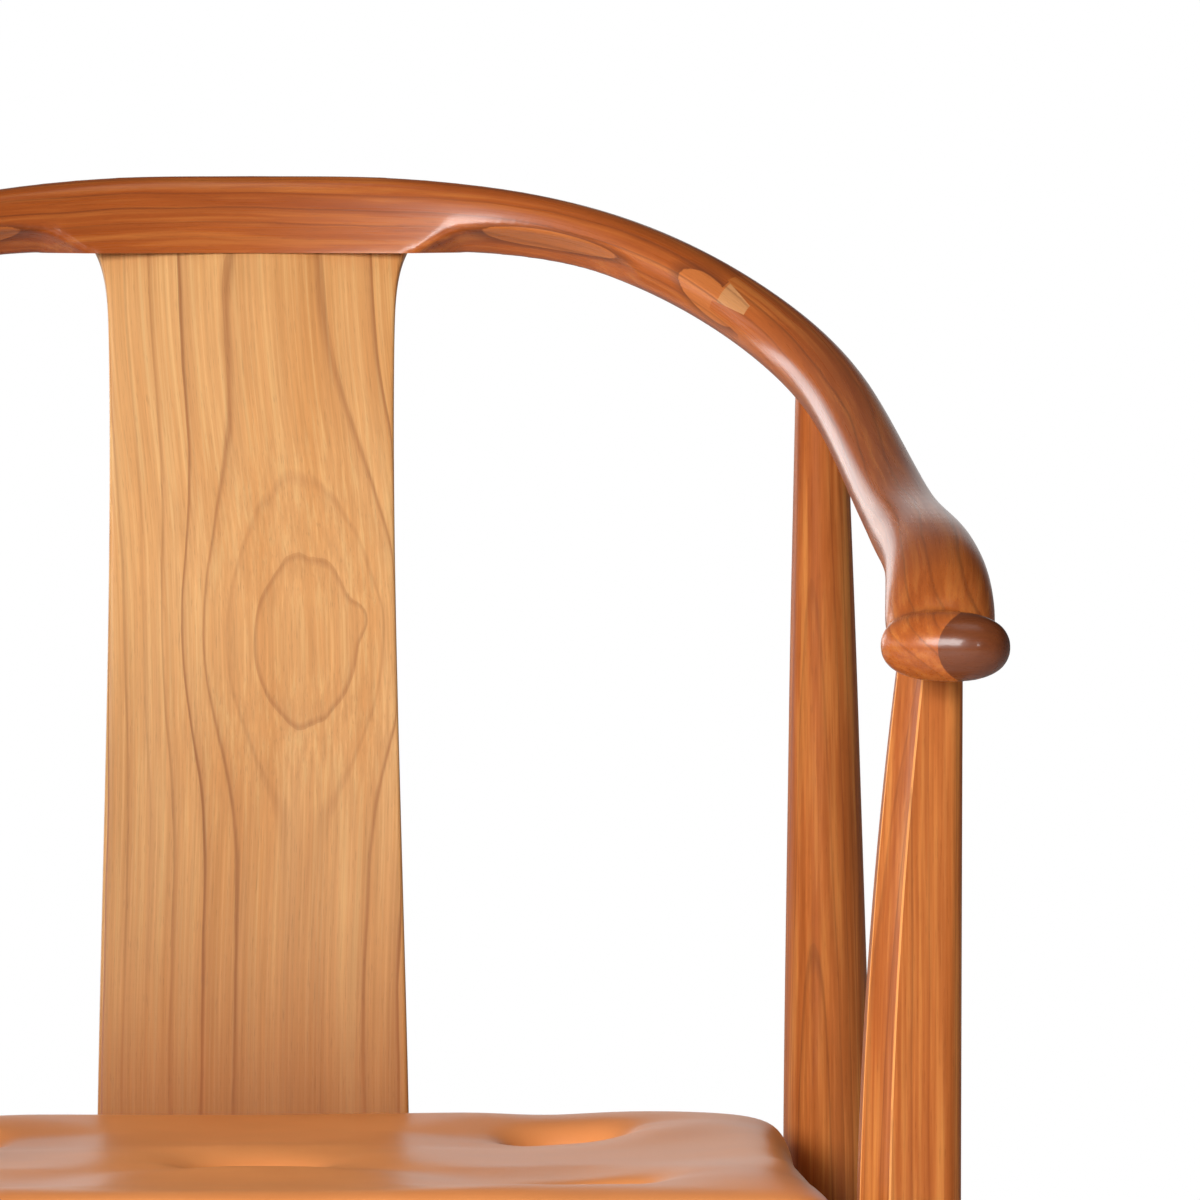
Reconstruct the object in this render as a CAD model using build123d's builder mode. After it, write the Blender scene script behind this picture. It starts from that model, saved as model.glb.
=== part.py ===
from build123d import *
from math import cos, pi, radians, sin, tan
import os

# Horseshoe-back armchair in solid cherry, with a loose tufted leather cushion.
# Millimetres. +X is the sitter's left, -Y the front, Z up.
# The origin is on the floor, in the middle of the chair's outline.

# ---- Horseshoe rail: one flowing line, made as a crest rail and two arms ------------------------
arm_spread = 252.0          # middle plane to the arm's centreline at its front end
crest_y = 271.0             # centreline at the middle of the back
arm_end_y = -264.0          # centreline where the arm runs into its knob
crest_level = 804.0         # height of the centreline at the middle of the back
arm_level = 654.0           # height of the centreline at the arm's end
# The half line's points: share of the spread, of the way back, and of the rise to the crest.
rail_line = (
    (0.000, 1.000, 1.000),
    (0.579, 0.925, 0.927),
    (0.865, 0.800, 0.669),
    (0.966, 0.604, 0.432),
    (1.008, 0.325, 0.233),
    (1.000, 0.045, 0.074),
    (0.996, 0.000, 0.000),
)
# Sections along that line: share of its length, half width, half height, squareness, lean.
rail_sections = (
    (0.000, 12.5, 15.5, 3.6, 17.0),
    (0.070, 12.5, 15.0, 3.6, 17.0),
    (0.140, 12.6, 13.5, 3.0, 13.0),
    (0.220, 12.6, 12.6, 2.6, 6.0),
    (0.310, 12.8, 12.6, 2.3, 0.0),
    (0.390, 13.0, 13.1, 2.2, 0.0),
    (0.470, 13.2, 13.3, 2.2, 0.0),
    (0.550, 13.2, 13.3, 2.2, 0.0),
    (0.635, 13.3, 13.4, 2.2, 0.0),
    (0.715, 14.3, 13.6, 2.2, 0.0),
    (0.795, 16.7, 14.0, 2.2, 0.0),
    (0.880, 19.3, 15.2, 2.3, 0.0),
    (0.950, 19.9, 16.6, 2.3, 0.0),
    (0.980, 19.0, 14.0, 2.3, 0.0),
    (1.000, 17.0, 10.0, 2.3, 0.0),
)
knob_diameter = 26.0
knob_length = 46.5
knob_turn = -12.0           # degrees: the knob's outer end points a little to the front
knob_ahead = 6.0            # knob's middle in front of the arm's end
knob_out = 2.0              # knob's middle outside the arm's end
finger_joint_share = 0.335  # where the arm joins the crest, as a share of the half line's length
finger_length = 20.0
finger_root = 9.0
finger_tip = 4.0
finger_count = 2

# ---- Legs ---------------------------------------------------------------------------------------
front_leg_share = 0.955     # where the front leg meets the arm, as a share of the half line's length
front_leg_outset = 9.0      # from the arm's centreline out to the leg's flat outer side
front_leg_seat = 37.8       # thickness beside the seat
front_leg_elbow = 31.6      # thickness half way up to the arm
front_leg_top = 20.9        # thickness at the arm's centreline
front_leg_shin = 33.0       # thickness at the shin
front_leg_foot = 27.0
front_leg_corner = 8.0      # corner radius beside the seat
front_leg_shin_corner = 13.0
front_leg_foot_corner = 12.4
front_elbow_level = 560.0
shin_level = 185.0
leg_square_below = 12.0     # how far the square part runs on below the seat rails
cove_radius = 25.0          # hollow down the leg's inner front corner, from the cushion to the arm
cove_seat_in = 13.6         # its axis beside the seat, in from the leg's inner side ...
cove_seat_ahead = 7.0       # ... and ahead of its front
cove_elbow_in = 14.2        # the same half way up ...
cove_elbow_ahead = 7.8
cove_top_in = 15.1          # ... and at the arm
cove_top_ahead = 8.9
rear_leg_share = 0.428      # where the rear leg meets the arm, as a share of the half line's length
rear_leg_splay = 0.0153     # outward run for each mm down
rear_leg_rake = 0.080       # backward run for each mm down
rear_leg_top = 20.5         # diameters, from the arm down to the foot
rear_leg_elbow = 28.7
rear_leg_seat = 38.0
rear_leg_shin = 33.0
rear_leg_foot = 27.0
rear_elbow_level = 598.0
leg_tenon_diameter = 14.0
leg_tenon_past = 4.0        # how far the tenon runs on past the arm's centreline
leg_tenon_root = 60.0       # how far down inside the leg the tenon's bar starts

# ---- Seat frame ---------------------------------------------------------------------------------
seat_level = 404.0          # top of the seat frame at the front legs
seat_tilt = 2.0             # degrees, falling to the back
rail_thickness = 24.0
rail_end_height = 62.0
rail_middle_height = 40.0
tenon_thickness = 10.0
tenon_height = 36.0
tenon_depth = 12.0
tenon_below_top = 13.0      # from the seat frame's top to the top of a tenon
panel_thickness = 9.0
rebate_width = 8.0
rebate_gap = 0.4
panel_leg_gap = 1.5         # between the seat panel's cut corners and the legs
block_leg = 58.0            # corner block along each rail
block_cut = 20.0            # its corner, cut off to clear the leg
block_height = 30.0

# ---- Stretchers ---------------------------------------------------------------------------------
stretcher_front_level = 112.0
stretcher_side_level = 152.0
stretcher_back_level = 192.0
stretcher_height = 26.0
stretcher_thickness = 15.0
footrest_height = 20.0      # the front stretcher is wider than it is high
footrest_width = 27.0
stretcher_corner = 6.0
stretcher_tenon = 9.0
stretcher_tenon_depth = 10.0

# ---- Back splat ---------------------------------------------------------------------------------
splat_thickness = 12.0
splat_top_width = 130.6
splat_neck_width = 119.0
splat_seat_width = 129.6
splat_flare = 21.0          # height over which the top flares out to the crest rail
splat_flare_start = 122.4   # width where that flare begins
splat_neck_drop = 88.0      # from the crest rail down to the narrowest part
splat_cope = 4.0            # how far the splat's blank runs into both rails before it is coped
splat_seat_slope = 0.20     # backward run for each mm up, at the seat
tongue_thickness = 8.0
tongue_length = 12.0
tongue_width = 100.0

# ---- Cushion ------------------------------------------------------------------------------------
cushion_nose = 16.0         # how far the cushion stands out in front of the front legs
cushion_thickness = 46.0
cushion_rear_corner = 38.0
cushion_front_corner = 22.0
cushion_top_round = 14.0
cushion_bottom_round = 6.0
cushion_clearance = 1.2     # to the legs and the splat
rest_gap = 0.3              # between the soft cushion and the wood under it
leather_thickness = 1.6
foam_gap = 0.2
base_seam = 10.0            # the underside's seam, in from the cushion's edge
tuft_spacing_x = 127.0
tuft_spacing_y = 118.0
tuft_depth = 22.0
tuft_mouth = 54.0
tuft_floor = 18.0
underside_tuft_depth = 7.0
underside_tuft_mouth = 30.0
button_diameter = 15.0
button_thickness = 4.0
button_round = 1.5
twine_diameter = 1.6
twine_hole_gap = 0.3

# ---- Hardware and fits --------------------------------------------------------------------------
glue_gap = 0.1              # round every tenon
mortise_extra = 1.0         # every mortise is this much deeper than its tenon
screw_diameter = 4.0
screw_head = 7.6
screw_head_height = 2.4
screw_gap = 0.05            # between a screw and the wood it is driven into
screw_recess_gap = 0.3      # round the head of a recessed screw
panel_screw_bite = 6.0      # into the seat panel
rail_screw_bite = 14.0      # into a seat rail
rail_screw_grip = 12.0      # wood between a rail screw's head and the rail
glide_diameter = 20.0
glide_thickness = 3.0
glide_pin_diameter = 3.0
glide_pin_length = 14.0

outline_steps = 16          # points round one section of the rail
far = 700.0                 # reaches past the chair from anywhere on it


# ---- Helpers ------------------------------------------------------------------------------------
def rail_outline(half_width, half_height, squareness):
    """Points round a section of the rail: a circle's angles on a rounded square."""
    points = []
    for step in range(outline_steps):
        angle = 2 * pi * step / outline_steps
        across = abs(cos(angle)) ** (2 / squareness) * half_width
        up = abs(sin(angle)) ** (2 / squareness) * half_height
        points.append((across if cos(angle) > 0 else -across, up if sin(angle) > 0 else -up))
    return points


def rail_plane(share, lean=0.0):
    """The plane across the rail: its x points outwards, its y up, leaning out by so many degrees."""
    tangent = rail_path.edge() % share
    outward = Vector(0, 0, 1).cross(tangent).normalized()
    up = tangent.cross(outward)
    across = outward * cos(radians(lean)) - up * sin(radians(lean))
    return Plane(origin=rail_path.edge() @ share, x_dir=across, z_dir=tangent)


def rod(start, end, diameter):
    """A round bar between two points."""
    axis = Vector(*end) - Vector(*start)
    with BuildPart() as made:
        with BuildSketch(Plane(origin=start, z_dir=axis)):
            Circle(diameter / 2)
        extrude(amount=axis.length)
    return made.part


def bar(start, end, across, height, corner=0.0):
    """A bar between two points, with its height upright."""
    axis = Vector(*end) - Vector(*start)
    side = Vector(0, 0, 1).cross(axis)
    with BuildPart() as made:
        with BuildSketch(Plane(origin=start, x_dir=side, z_dir=axis)):
            if corner > 0:
                RectangleRounded(across, height, corner)
            else:
                Rectangle(across, height)
        extrude(amount=axis.length)
    return made.part


def between(start, end, start_run, end_run):
    """Two points on the line from start to end, so far in from each."""
    line = Vector(*end) - Vector(*start)
    return Vector(*start) + line.normalized() * start_run, Vector(*end) - line.normalized() * end_run


def screw(head, tip, gap=0.0):
    """A countersunk screw, or with a gap the hole for it."""
    axis = Vector(*tip) - Vector(*head)
    face = Plane(origin=head, z_dir=axis)
    with BuildPart() as made:
        with BuildSketch(face):
            Circle(screw_head / 2 + gap)
        with BuildSketch(face.offset(screw_head_height)):
            Circle(screw_diameter / 2 + gap)
        loft()
        with BuildSketch(face.offset(screw_head_height)):
            Circle(screw_diameter / 2 + gap)
        extrude(amount=axis.length - screw_head_height + gap)
    return made.part


def other_side(shape):
    """The same piece on the other side of the chair."""
    return mirror(shape, about=Plane.YZ)


def seat_z(y):
    """Height of the seat frame's top at y."""
    return seat_level - (y - front_leg_y) * tan(radians(seat_tilt))


def seat_slab(low, high):
    """Everything between two heights above the seat frame's top."""
    with BuildPart() as made:
        with BuildSketch(seat_plane.offset(low)):
            Rectangle(2 * far, 2 * far)
        extrude(amount=high - low)
    return made.part


def front_leg_centre(thickness):
    """Middle of the front leg where it is this thick: its outer side and front stay put."""
    return front_leg_outer_x - thickness / 2, front_leg_front_y + thickness / 2


def front_leg_point(level):
    """Middle of the front leg at this height, below the shin."""
    share = (level - glide_thickness) / (shin_level - glide_thickness)
    x, y = front_leg_centre(front_leg_foot + share * (front_leg_shin - front_leg_foot))
    return x, y, level


def rear_leg_point(level):
    """Middle of the rear leg at this height."""
    drop = rear_leg_head.Z - level
    x = rear_leg_head.X + drop * rear_leg_splay
    return x, rear_leg_head.Y + drop * rear_leg_rake, level


# ---- The rail's centreline, and where the legs meet it --------------------------------------------
rail_points = [
    (
        spread * arm_spread,
        arm_end_y + back * (crest_y - arm_end_y),
        arm_level + rise * (crest_level - arm_level),
    )
    for spread, back, rise in rail_line
]
with BuildLine() as rail_path:
    Spline(*rail_points, tangents=((1, 0, 0), (0, -1, -0.5)))

front_leg_head = rail_path.edge() @ front_leg_share
rear_leg_head = rail_path.edge() @ rear_leg_share
front_leg_outer_x = front_leg_head.X + front_leg_outset
front_leg_front_y = front_leg_head.Y - front_leg_top / 2
front_leg_inner_x = front_leg_outer_x - front_leg_seat
front_leg_back_y = front_leg_front_y + front_leg_seat
front_leg_x, front_leg_y = front_leg_centre(front_leg_seat)
rear_leg_x, rear_leg_y, _ = rear_leg_point(seat_level)
side_rail_x = (front_leg_x + rear_leg_x) / 2
rear_rail_top = seat_z(rear_leg_y)

# The space inside the seat rails, and the panel that fills their rebate.
inner_x = side_rail_x - rail_thickness / 2
inner_front_y = front_leg_y + rail_thickness / 2
inner_back_y = rear_leg_y - rail_thickness / 2
panel_half_width = inner_x + rebate_width
panel_front_y = inner_front_y - rebate_width
panel_back_y = inner_back_y + rebate_width
seat_plane = Plane(
    origin=(0, front_leg_y, seat_level),
    x_dir=(1, 0, 0),
    z_dir=(0, tan(radians(seat_tilt)), 1),
)

# ---- Blanks: rail, knob and legs before their joints are cut --------------------------------------
with BuildPart() as rail_half:
    for share, half_width, half_height, squareness, lean in rail_sections:
        with BuildSketch(rail_plane(share, lean)):
            with BuildLine():
                Spline(*rail_outline(half_width, half_height, squareness), periodic=True)
            make_face()
    loft()

# The knob: a round-ended bar across the end of the arm, turned a little to the front.
knob_plane = Plane(
    origin=Vector(*rail_points[-1]) + Vector(knob_out, -knob_ahead, 0),
    x_dir=(cos(radians(knob_turn)), sin(radians(knob_turn)), 0),
    z_dir=(0, 0, 1),
)
with BuildPart() as knob:
    with BuildSketch(knob_plane):
        SlotOverall(knob_length, knob_diameter)
        with Locations((0, -knob_diameter)):
            Rectangle(knob_length * 2, knob_diameter * 2, mode=Mode.SUBTRACT)
    revolve(axis=Axis(knob_plane.origin, knob_plane.x_dir))

# Everything beyond the finger joint: the crest's fingers taper into the arm, the arm's between them.
joint_plane = rail_plane(finger_joint_share)
finger_plane = Plane(
    origin=joint_plane.origin, x_dir=joint_plane.z_dir, z_dir=-joint_plane.x_dir
)
finger_pitch = finger_root + finger_tip
zigzag = [(-finger_length / 2, -far)]
for finger in range(finger_count):
    middle = (finger - (finger_count - 1) / 2) * finger_pitch
    zigzag += [
        (-finger_length / 2, middle - finger_root / 2),
        (finger_length / 2, middle - finger_tip / 2),
        (finger_length / 2, middle + finger_tip / 2),
        (-finger_length / 2, middle + finger_root / 2),
    ]
zigzag += [(-finger_length / 2, far), (far, far), (far, -far)]
with BuildPart() as arm_side:
    with BuildSketch(finger_plane):
        with BuildLine():
            Polyline(*zigzag, close=True)
        make_face()
    extrude(amount=far, both=True)

with BuildPart() as arm_blank:
    add(rail_half.part)
    add(arm_side.part, mode=Mode.INTERSECT)
    add(knob.part)

# Front leg: its outer side and front stay flat, and a hollow runs down its inner front corner.
square_bottom = seat_level - rail_end_height - leg_square_below
front_leg_sections = (
    (glide_thickness, front_leg_foot, front_leg_foot_corner),
    (shin_level, front_leg_shin, front_leg_shin_corner),
    (square_bottom, front_leg_seat, front_leg_corner),
)
cove_sections = (
    (seat_level, front_leg_seat, cove_seat_in, cove_seat_ahead),
    (front_elbow_level, front_leg_elbow, cove_elbow_in, cove_elbow_ahead),
    (front_leg_head.Z, front_leg_top, cove_top_in, cove_top_ahead),
)
with BuildPart() as front_leg_blank:
    for level, thickness, corner in front_leg_sections:
        with BuildSketch(Plane.XY.offset(level)):
            with Locations(front_leg_centre(thickness)):
                RectangleRounded(thickness, thickness, corner)
    loft()
    with BuildSketch(Plane.XY.offset(square_bottom)):
        with Locations(front_leg_centre(front_leg_seat)):
            RectangleRounded(front_leg_seat, front_leg_seat, front_leg_corner)
    extrude(amount=seat_level - square_bottom)
    for level, thickness, _, _ in cove_sections:
        corner = front_leg_corner * thickness / front_leg_seat
        with BuildSketch(Plane.XY.offset(level)):
            with Locations(front_leg_centre(thickness)):
                RectangleRounded(thickness, thickness, corner)
    loft()

with BuildPart() as cove:
    with BuildLine() as cove_axis:
        Spline(
            *[
                (
                    front_leg_outer_x - thickness - cove_in,
                    front_leg_front_y - cove_ahead,
                    level,
                )
                for level, thickness, cove_in, cove_ahead in cove_sections
            ]
        )
    with BuildSketch(Plane(origin=cove_axis.line @ 0, z_dir=cove_axis.line % 0)):
        Circle(cove_radius)
    sweep()

# Rear leg: turned, raked and splayed, and cut level at the foot.
rear_leg_axis = Vector(*rear_leg_head) - Vector(*rear_leg_point(0))
rear_leg_sections = (
    (-glide_thickness, rear_leg_foot),
    (shin_level, rear_leg_shin),
    (rear_rail_top - rail_end_height / 2, rear_leg_seat),
    (rear_elbow_level, rear_leg_elbow),
    (rear_leg_head.Z, rear_leg_top),
)
with BuildPart() as rear_leg_blank:
    for level, diameter in rear_leg_sections:
        with BuildSketch(Plane(origin=rear_leg_point(level), z_dir=rear_leg_axis)):
            Circle(diameter / 2)
    loft()
    with BuildSketch():
        Rectangle(2 * far, 2 * far)
    extrude(amount=-far, mode=Mode.SUBTRACT)
    with BuildSketch():
        Rectangle(2 * far, 2 * far)
    extrude(amount=glide_thickness, mode=Mode.SUBTRACT)

leg_blanks = [
    front_leg_blank.part,
    other_side(front_leg_blank.part),
    rear_leg_blank.part,
    other_side(rear_leg_blank.part),
]

# ---- Tenons and the mortises for them -------------------------------------------------------------
tenon_drop = tenon_below_top + tenon_height / 2
rear_leg_inner_x = rear_leg_x - rear_leg_seat / 2
rear_leg_front_y = rear_leg_y - rear_leg_seat / 2
front_rail_reach = front_leg_inner_x + tenon_depth
rear_rail_reach = rear_leg_inner_x + tenon_depth
side_rail_front = (side_rail_x, front_leg_back_y - tenon_depth, seat_level - tenon_drop)
side_rail_back = (side_rail_x, rear_leg_front_y + tenon_depth, rear_rail_top - tenon_drop)


def rail_tenon(start, end, extra=0.0, gap=0.0):
    """A seat rail's two tenons, as one bar through the rail; with extra and gap their mortises."""
    start, end = between(start, end, -extra, -extra)
    return bar(start, end, tenon_thickness + 2 * gap, tenon_height + 2 * gap)


front_rail_ends = (
    (-front_rail_reach, front_leg_y, seat_level - tenon_drop),
    (front_rail_reach, front_leg_y, seat_level - tenon_drop),
)
rear_rail_ends = (
    (-rear_rail_reach, rear_leg_y, rear_rail_top - tenon_drop),
    (rear_rail_reach, rear_leg_y, rear_rail_top - tenon_drop),
)
side_rail_ends = (side_rail_front, side_rail_back)

stretcher_front_end = front_leg_point(stretcher_front_level)
stretcher_side_front = front_leg_point(stretcher_side_level)
stretcher_side_back = rear_leg_point(stretcher_side_level)
stretcher_back_end = rear_leg_point(stretcher_back_level)


def across_chair(point):
    """The same point on both sides of the chair."""
    x, y, z = point
    return (-x, y, z), (x, y, z)


# Each stretcher: the middles of its two legs, and the legs' thickness there.
stretcher_legs = {
    "front": (*across_chair(stretcher_front_end), front_leg_foot, front_leg_foot),
    "back": (*across_chair(stretcher_back_end), rear_leg_shin, rear_leg_shin),
    "left": (stretcher_side_front, stretcher_side_back, front_leg_foot, rear_leg_shin),
}


def stretcher_peg(name, extra=0.0, gap=0.0):
    """A stretcher's round tenons, as one rod through it; with extra and gap their holes."""
    start, end, start_leg, end_leg = stretcher_legs[name]
    start_run = start_leg / 2 - stretcher_tenon_depth - extra
    end_run = end_leg / 2 - stretcher_tenon_depth - extra
    return rod(*between(start, end, start_run, end_run), stretcher_tenon + 2 * gap)


def leg_top_peg(head, foot, extra=0.0, gap=0.0):
    """The round tenon on top of a leg; with extra and gap the hole for it."""
    up = (Vector(*head) - Vector(*foot)).normalized()
    start = Vector(*head) - up * leg_tenon_root
    end = Vector(*head) + up * (leg_tenon_past + extra)
    return rod(start, end, leg_tenon_diameter + 2 * gap)


front_head = (*front_leg_centre(front_leg_top), front_leg_head.Z)
front_peg_foot = (*front_leg_centre(front_leg_top), 0)
rear_head = tuple(rear_leg_head)
rear_peg_foot = rear_leg_point(0)

# ---- Back splat: one bent board with a tongue at each end ------------------------------------------
_, crest_half_width, crest_half_height, _, crest_lean = rail_sections[0]
crest_frame = rail_plane(0, crest_lean)
splat_top = (
    crest_frame.origin
    - crest_frame.y_dir * crest_half_height
    - crest_frame.x_dir * (crest_half_width - splat_thickness / 2)
)
splat_foot_y = (panel_back_y + rebate_gap + rear_leg_y + rail_thickness / 2) / 2
splat_foot = Vector(0, splat_foot_y, seat_z(splat_foot_y))
splat_seat_way = Vector(0, splat_seat_slope, 1).normalized()
splat_top_way = crest_frame.y_dir


def splat_board(width, thickness, run):
    """A board bent to the splat's curve, that runs on straight past the splat at each end."""
    with BuildLine() as line:
        Line(splat_foot - splat_seat_way * run, splat_foot)
        Spline(splat_foot, splat_top, tangents=(splat_seat_way, splat_top_way))
        Line(splat_top, splat_top + splat_top_way * run)
    start = Plane(origin=line.wire() @ 0, x_dir=(1, 0, 0), z_dir=line.wire() % 0)
    with BuildPart() as made:
        with BuildSketch(start):
            Rectangle(width, thickness)
        sweep(path=line.wire())
    return made.part


with BuildPart() as splat_front:
    with BuildSketch(Plane.XZ):
        with BuildLine():
            low = (splat_seat_width / 2, splat_foot.Z - splat_cope)
            neck = (splat_neck_width / 2, splat_top.Z - splat_neck_drop)
            flare = (splat_flare_start / 2, splat_top.Z - splat_flare)
            corner = (splat_top_width / 2, splat_top.Z)
            high = (splat_top_width / 2, splat_top.Z + splat_cope)
            slope = (neck[0] - low[0], 2 * (neck[1] - low[1]))
            edge = [
                Line((0, low[1]), low),
                Spline(low, neck, tangents=(slope, (0, 1))),
                Spline(neck, flare, corner, tangents=((0, 1), (1, 2))),
                Line(corner, high),
                Line(high, (0, high[1])),
            ]
            mirror(edge, about=Plane.YZ)
        make_face()
    extrude(amount=far, both=True)

# ---- Seat frame -----------------------------------------------------------------------------------
rail_arch = rail_end_height - rail_middle_height
above_seat = seat_slab(0, far)


def cross_rail_body(y):
    """A seat rail across the chair, arched below, cut to the seat's slope on top."""
    top = seat_z(y)
    with BuildPart() as made:
        with BuildSketch(Plane.XZ.offset(-y)):
            with BuildLine():
                Line((-inner_x, top - rail_end_height), (-inner_x, top + rail_arch))
                Line((-inner_x, top + rail_arch), (inner_x, top + rail_arch))
                Line((inner_x, top + rail_arch), (inner_x, top - rail_end_height))
                ThreePointArc(
                    (inner_x, top - rail_end_height),
                    (0, top - rail_middle_height),
                    (-inner_x, top - rail_end_height),
                )
            make_face()
        extrude(amount=rail_thickness / 2, both=True)
        add(above_seat, mode=Mode.SUBTRACT)
        for blank in leg_blanks:
            add(blank, mode=Mode.SUBTRACT)
    return made.part


with BuildPart() as panel_pocket:
    with BuildSketch():
        with Locations((0, (panel_front_y + panel_back_y) / 2)):
            Rectangle(
                2 * (panel_half_width + rebate_gap),
                panel_back_y - panel_front_y + 2 * rebate_gap,
            )
    extrude(amount=far)
    add(seat_slab(-panel_thickness, panel_thickness), mode=Mode.INTERSECT)

with BuildPart() as seat_rail_front:
    add(cross_rail_body(front_leg_y))
    add(rail_tenon(*front_rail_ends))
    add(panel_pocket.part, mode=Mode.SUBTRACT)

with BuildPart() as seat_rail_back:
    add(cross_rail_body(rear_leg_y))
    add(rail_tenon(*rear_rail_ends))
    add(panel_pocket.part, mode=Mode.SUBTRACT)

with BuildPart() as seat_rail_left:
    with BuildSketch(Plane.YZ.offset(side_rail_x)):
        with BuildLine():
            Line((front_leg_y, seat_level - rail_end_height), (front_leg_y, seat_level))
            Line((front_leg_y, seat_level), (rear_leg_y, rear_rail_top))
            Line((rear_leg_y, rear_rail_top), (rear_leg_y, rear_rail_top - rail_end_height))
            ThreePointArc(
                (rear_leg_y, rear_rail_top - rail_end_height),
                (
                    (front_leg_y + rear_leg_y) / 2,
                    (seat_level + rear_rail_top) / 2 - rail_middle_height,
                ),
                (front_leg_y, seat_level - rail_end_height),
            )
        make_face()
    extrude(amount=rail_thickness / 2, both=True)
    for blank in leg_blanks:
        add(blank, mode=Mode.SUBTRACT)
    add(rail_tenon(*side_rail_ends))
    add(panel_pocket.part, mode=Mode.SUBTRACT)

# Plywood board in the rails' rebate, with its corners cut round the legs.
with BuildPart() as seat_panel:
    with BuildSketch():
        with Locations((0, (panel_front_y + panel_back_y) / 2)):
            Rectangle(2 * panel_half_width, panel_back_y - panel_front_y)
        for side in (-1, 1):
            with Locations((side * front_leg_x, front_leg_y)):
                Rectangle(
                    front_leg_seat + 2 * panel_leg_gap,
                    front_leg_seat + 2 * panel_leg_gap,
                    mode=Mode.SUBTRACT,
                )
            with Locations((side * rear_leg_x, rear_leg_y)):
                Circle(rear_leg_seat / 2 + panel_leg_gap, mode=Mode.SUBTRACT)
    extrude(amount=far)
    add(seat_slab(-panel_thickness, 0), mode=Mode.INTERSECT)

# Corner blocks, glued and screwed inside the frame's corners under the panel.
block_corners = {
    "front_left": (inner_x, inner_front_y, -1, 1),
    "front_right": (-inner_x, inner_front_y, 1, 1),
    "back_left": (inner_x, inner_back_y, -1, -1),
    "back_right": (-inner_x, inner_back_y, 1, -1),
}
rail_screw_along = block_leg - rail_screw_grip - screw_head
panel_screw_along = (block_leg + block_cut) / 4
corner_blocks = {}
block_screws = []
panel_screws = []
rail_screw_holes = []
panel_screw_holes = []
for corner, (x, y, way_x, way_y) in block_corners.items():
    block_bottom = seat_z(y) - panel_thickness - block_height
    screw_z = block_bottom + block_height / 2
    along_x = (x + way_x * rail_screw_along, y, screw_z)
    along_y = (x, y + way_y * rail_screw_along, screw_z)
    into_back_or_front = Vector(0, -way_y, 0)
    into_side = Vector(-way_x, 0, 0)
    recesses = []
    for entry, into in ((along_x, into_back_or_front), (along_y, into_side)):
        head = Vector(*entry) - into * rail_screw_grip
        tip = Vector(*entry) + into * rail_screw_bite
        block_screws.append(screw(head, tip))
        rail_screw_holes.append(screw(head, tip, screw_gap))
        recesses.append(rod(head, head - into * block_leg, screw_head + 2 * screw_recess_gap))
    foot = (x + way_x * panel_screw_along, y + way_y * panel_screw_along, block_bottom)
    tip = (foot[0], foot[1], seat_z(foot[1]) - panel_thickness + panel_screw_bite)
    panel_screws.append(screw(foot, tip))
    panel_screw_holes.append(screw(foot, tip, screw_gap))
    with BuildPart() as block:
        with BuildSketch(Plane.XY.offset(block_bottom)):
            with BuildLine():
                Polyline(
                    (x, y + way_y * block_cut),
                    (x, y + way_y * block_leg),
                    (x + way_x * block_leg, y),
                    (x + way_x * block_cut, y),
                    close=True,
                )
            make_face()
        extrude(amount=2 * block_height)
        add(seat_slab(-panel_thickness, far), mode=Mode.SUBTRACT)
        for hole in recesses + rail_screw_holes[-2:] + panel_screw_holes[-1:]:
            add(hole, mode=Mode.SUBTRACT)
    corner_blocks["corner_block_" + corner] = block.part

with BuildPart() as corner_block_screws:
    for one in block_screws:
        add(one)

with BuildPart() as seat_panel_screws:
    for one in panel_screws:
        add(one)

with BuildPart() as bored_panel:
    add(seat_panel.part)
    for hole in panel_screw_holes:
        add(hole, mode=Mode.SUBTRACT)

# ---- Stretchers -------------------------------------------------------------------------------------
stretcher_sizes = {
    "front": (footrest_width, footrest_height),
    "back": (stretcher_thickness, stretcher_height),
    "left": (stretcher_thickness, stretcher_height),
}
stretchers = {}
for name, (across, height) in stretcher_sizes.items():
    start, end, _, _ = stretcher_legs[name]
    with BuildPart() as stretcher:
        add(bar(start, end, across, height, stretcher_corner))
        for blank in leg_blanks:
            add(blank, mode=Mode.SUBTRACT)
        add(stretcher_peg(name))
    stretchers["stretcher_" + name] = stretcher.part
stretchers["stretcher_right"] = other_side(stretchers["stretcher_left"])

# ---- Legs, arms, crest rail and splat, with their joints cut ----------------------------------------
foot_pins = [
    rod((x, y, 0), (x, y, glide_thickness + glide_pin_length), glide_pin_diameter + 2 * screw_gap)
    for x, y, _ in (front_leg_point(glide_thickness), rear_leg_point(glide_thickness))
]
with BuildPart() as front_leg_left:
    add(front_leg_blank.part)
    add(cove.part, mode=Mode.SUBTRACT)
    add(arm_blank.part, mode=Mode.SUBTRACT)
    add(leg_top_peg(front_head, front_peg_foot))
    for tenon_ends in (front_rail_ends, side_rail_ends):
        add(rail_tenon(*tenon_ends, mortise_extra, glue_gap), mode=Mode.SUBTRACT)
    for name in ("front", "left"):
        add(stretcher_peg(name, mortise_extra, glue_gap), mode=Mode.SUBTRACT)
    add(foot_pins[0], mode=Mode.SUBTRACT)

with BuildPart() as rear_leg_left:
    add(rear_leg_blank.part)
    add(arm_blank.part, mode=Mode.SUBTRACT)
    add(leg_top_peg(rear_head, rear_peg_foot))
    for tenon_ends in (rear_rail_ends, side_rail_ends):
        add(rail_tenon(*tenon_ends, mortise_extra, glue_gap), mode=Mode.SUBTRACT)
    for name in ("back", "left"):
        add(stretcher_peg(name, mortise_extra, glue_gap), mode=Mode.SUBTRACT)
    add(foot_pins[1], mode=Mode.SUBTRACT)

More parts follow.
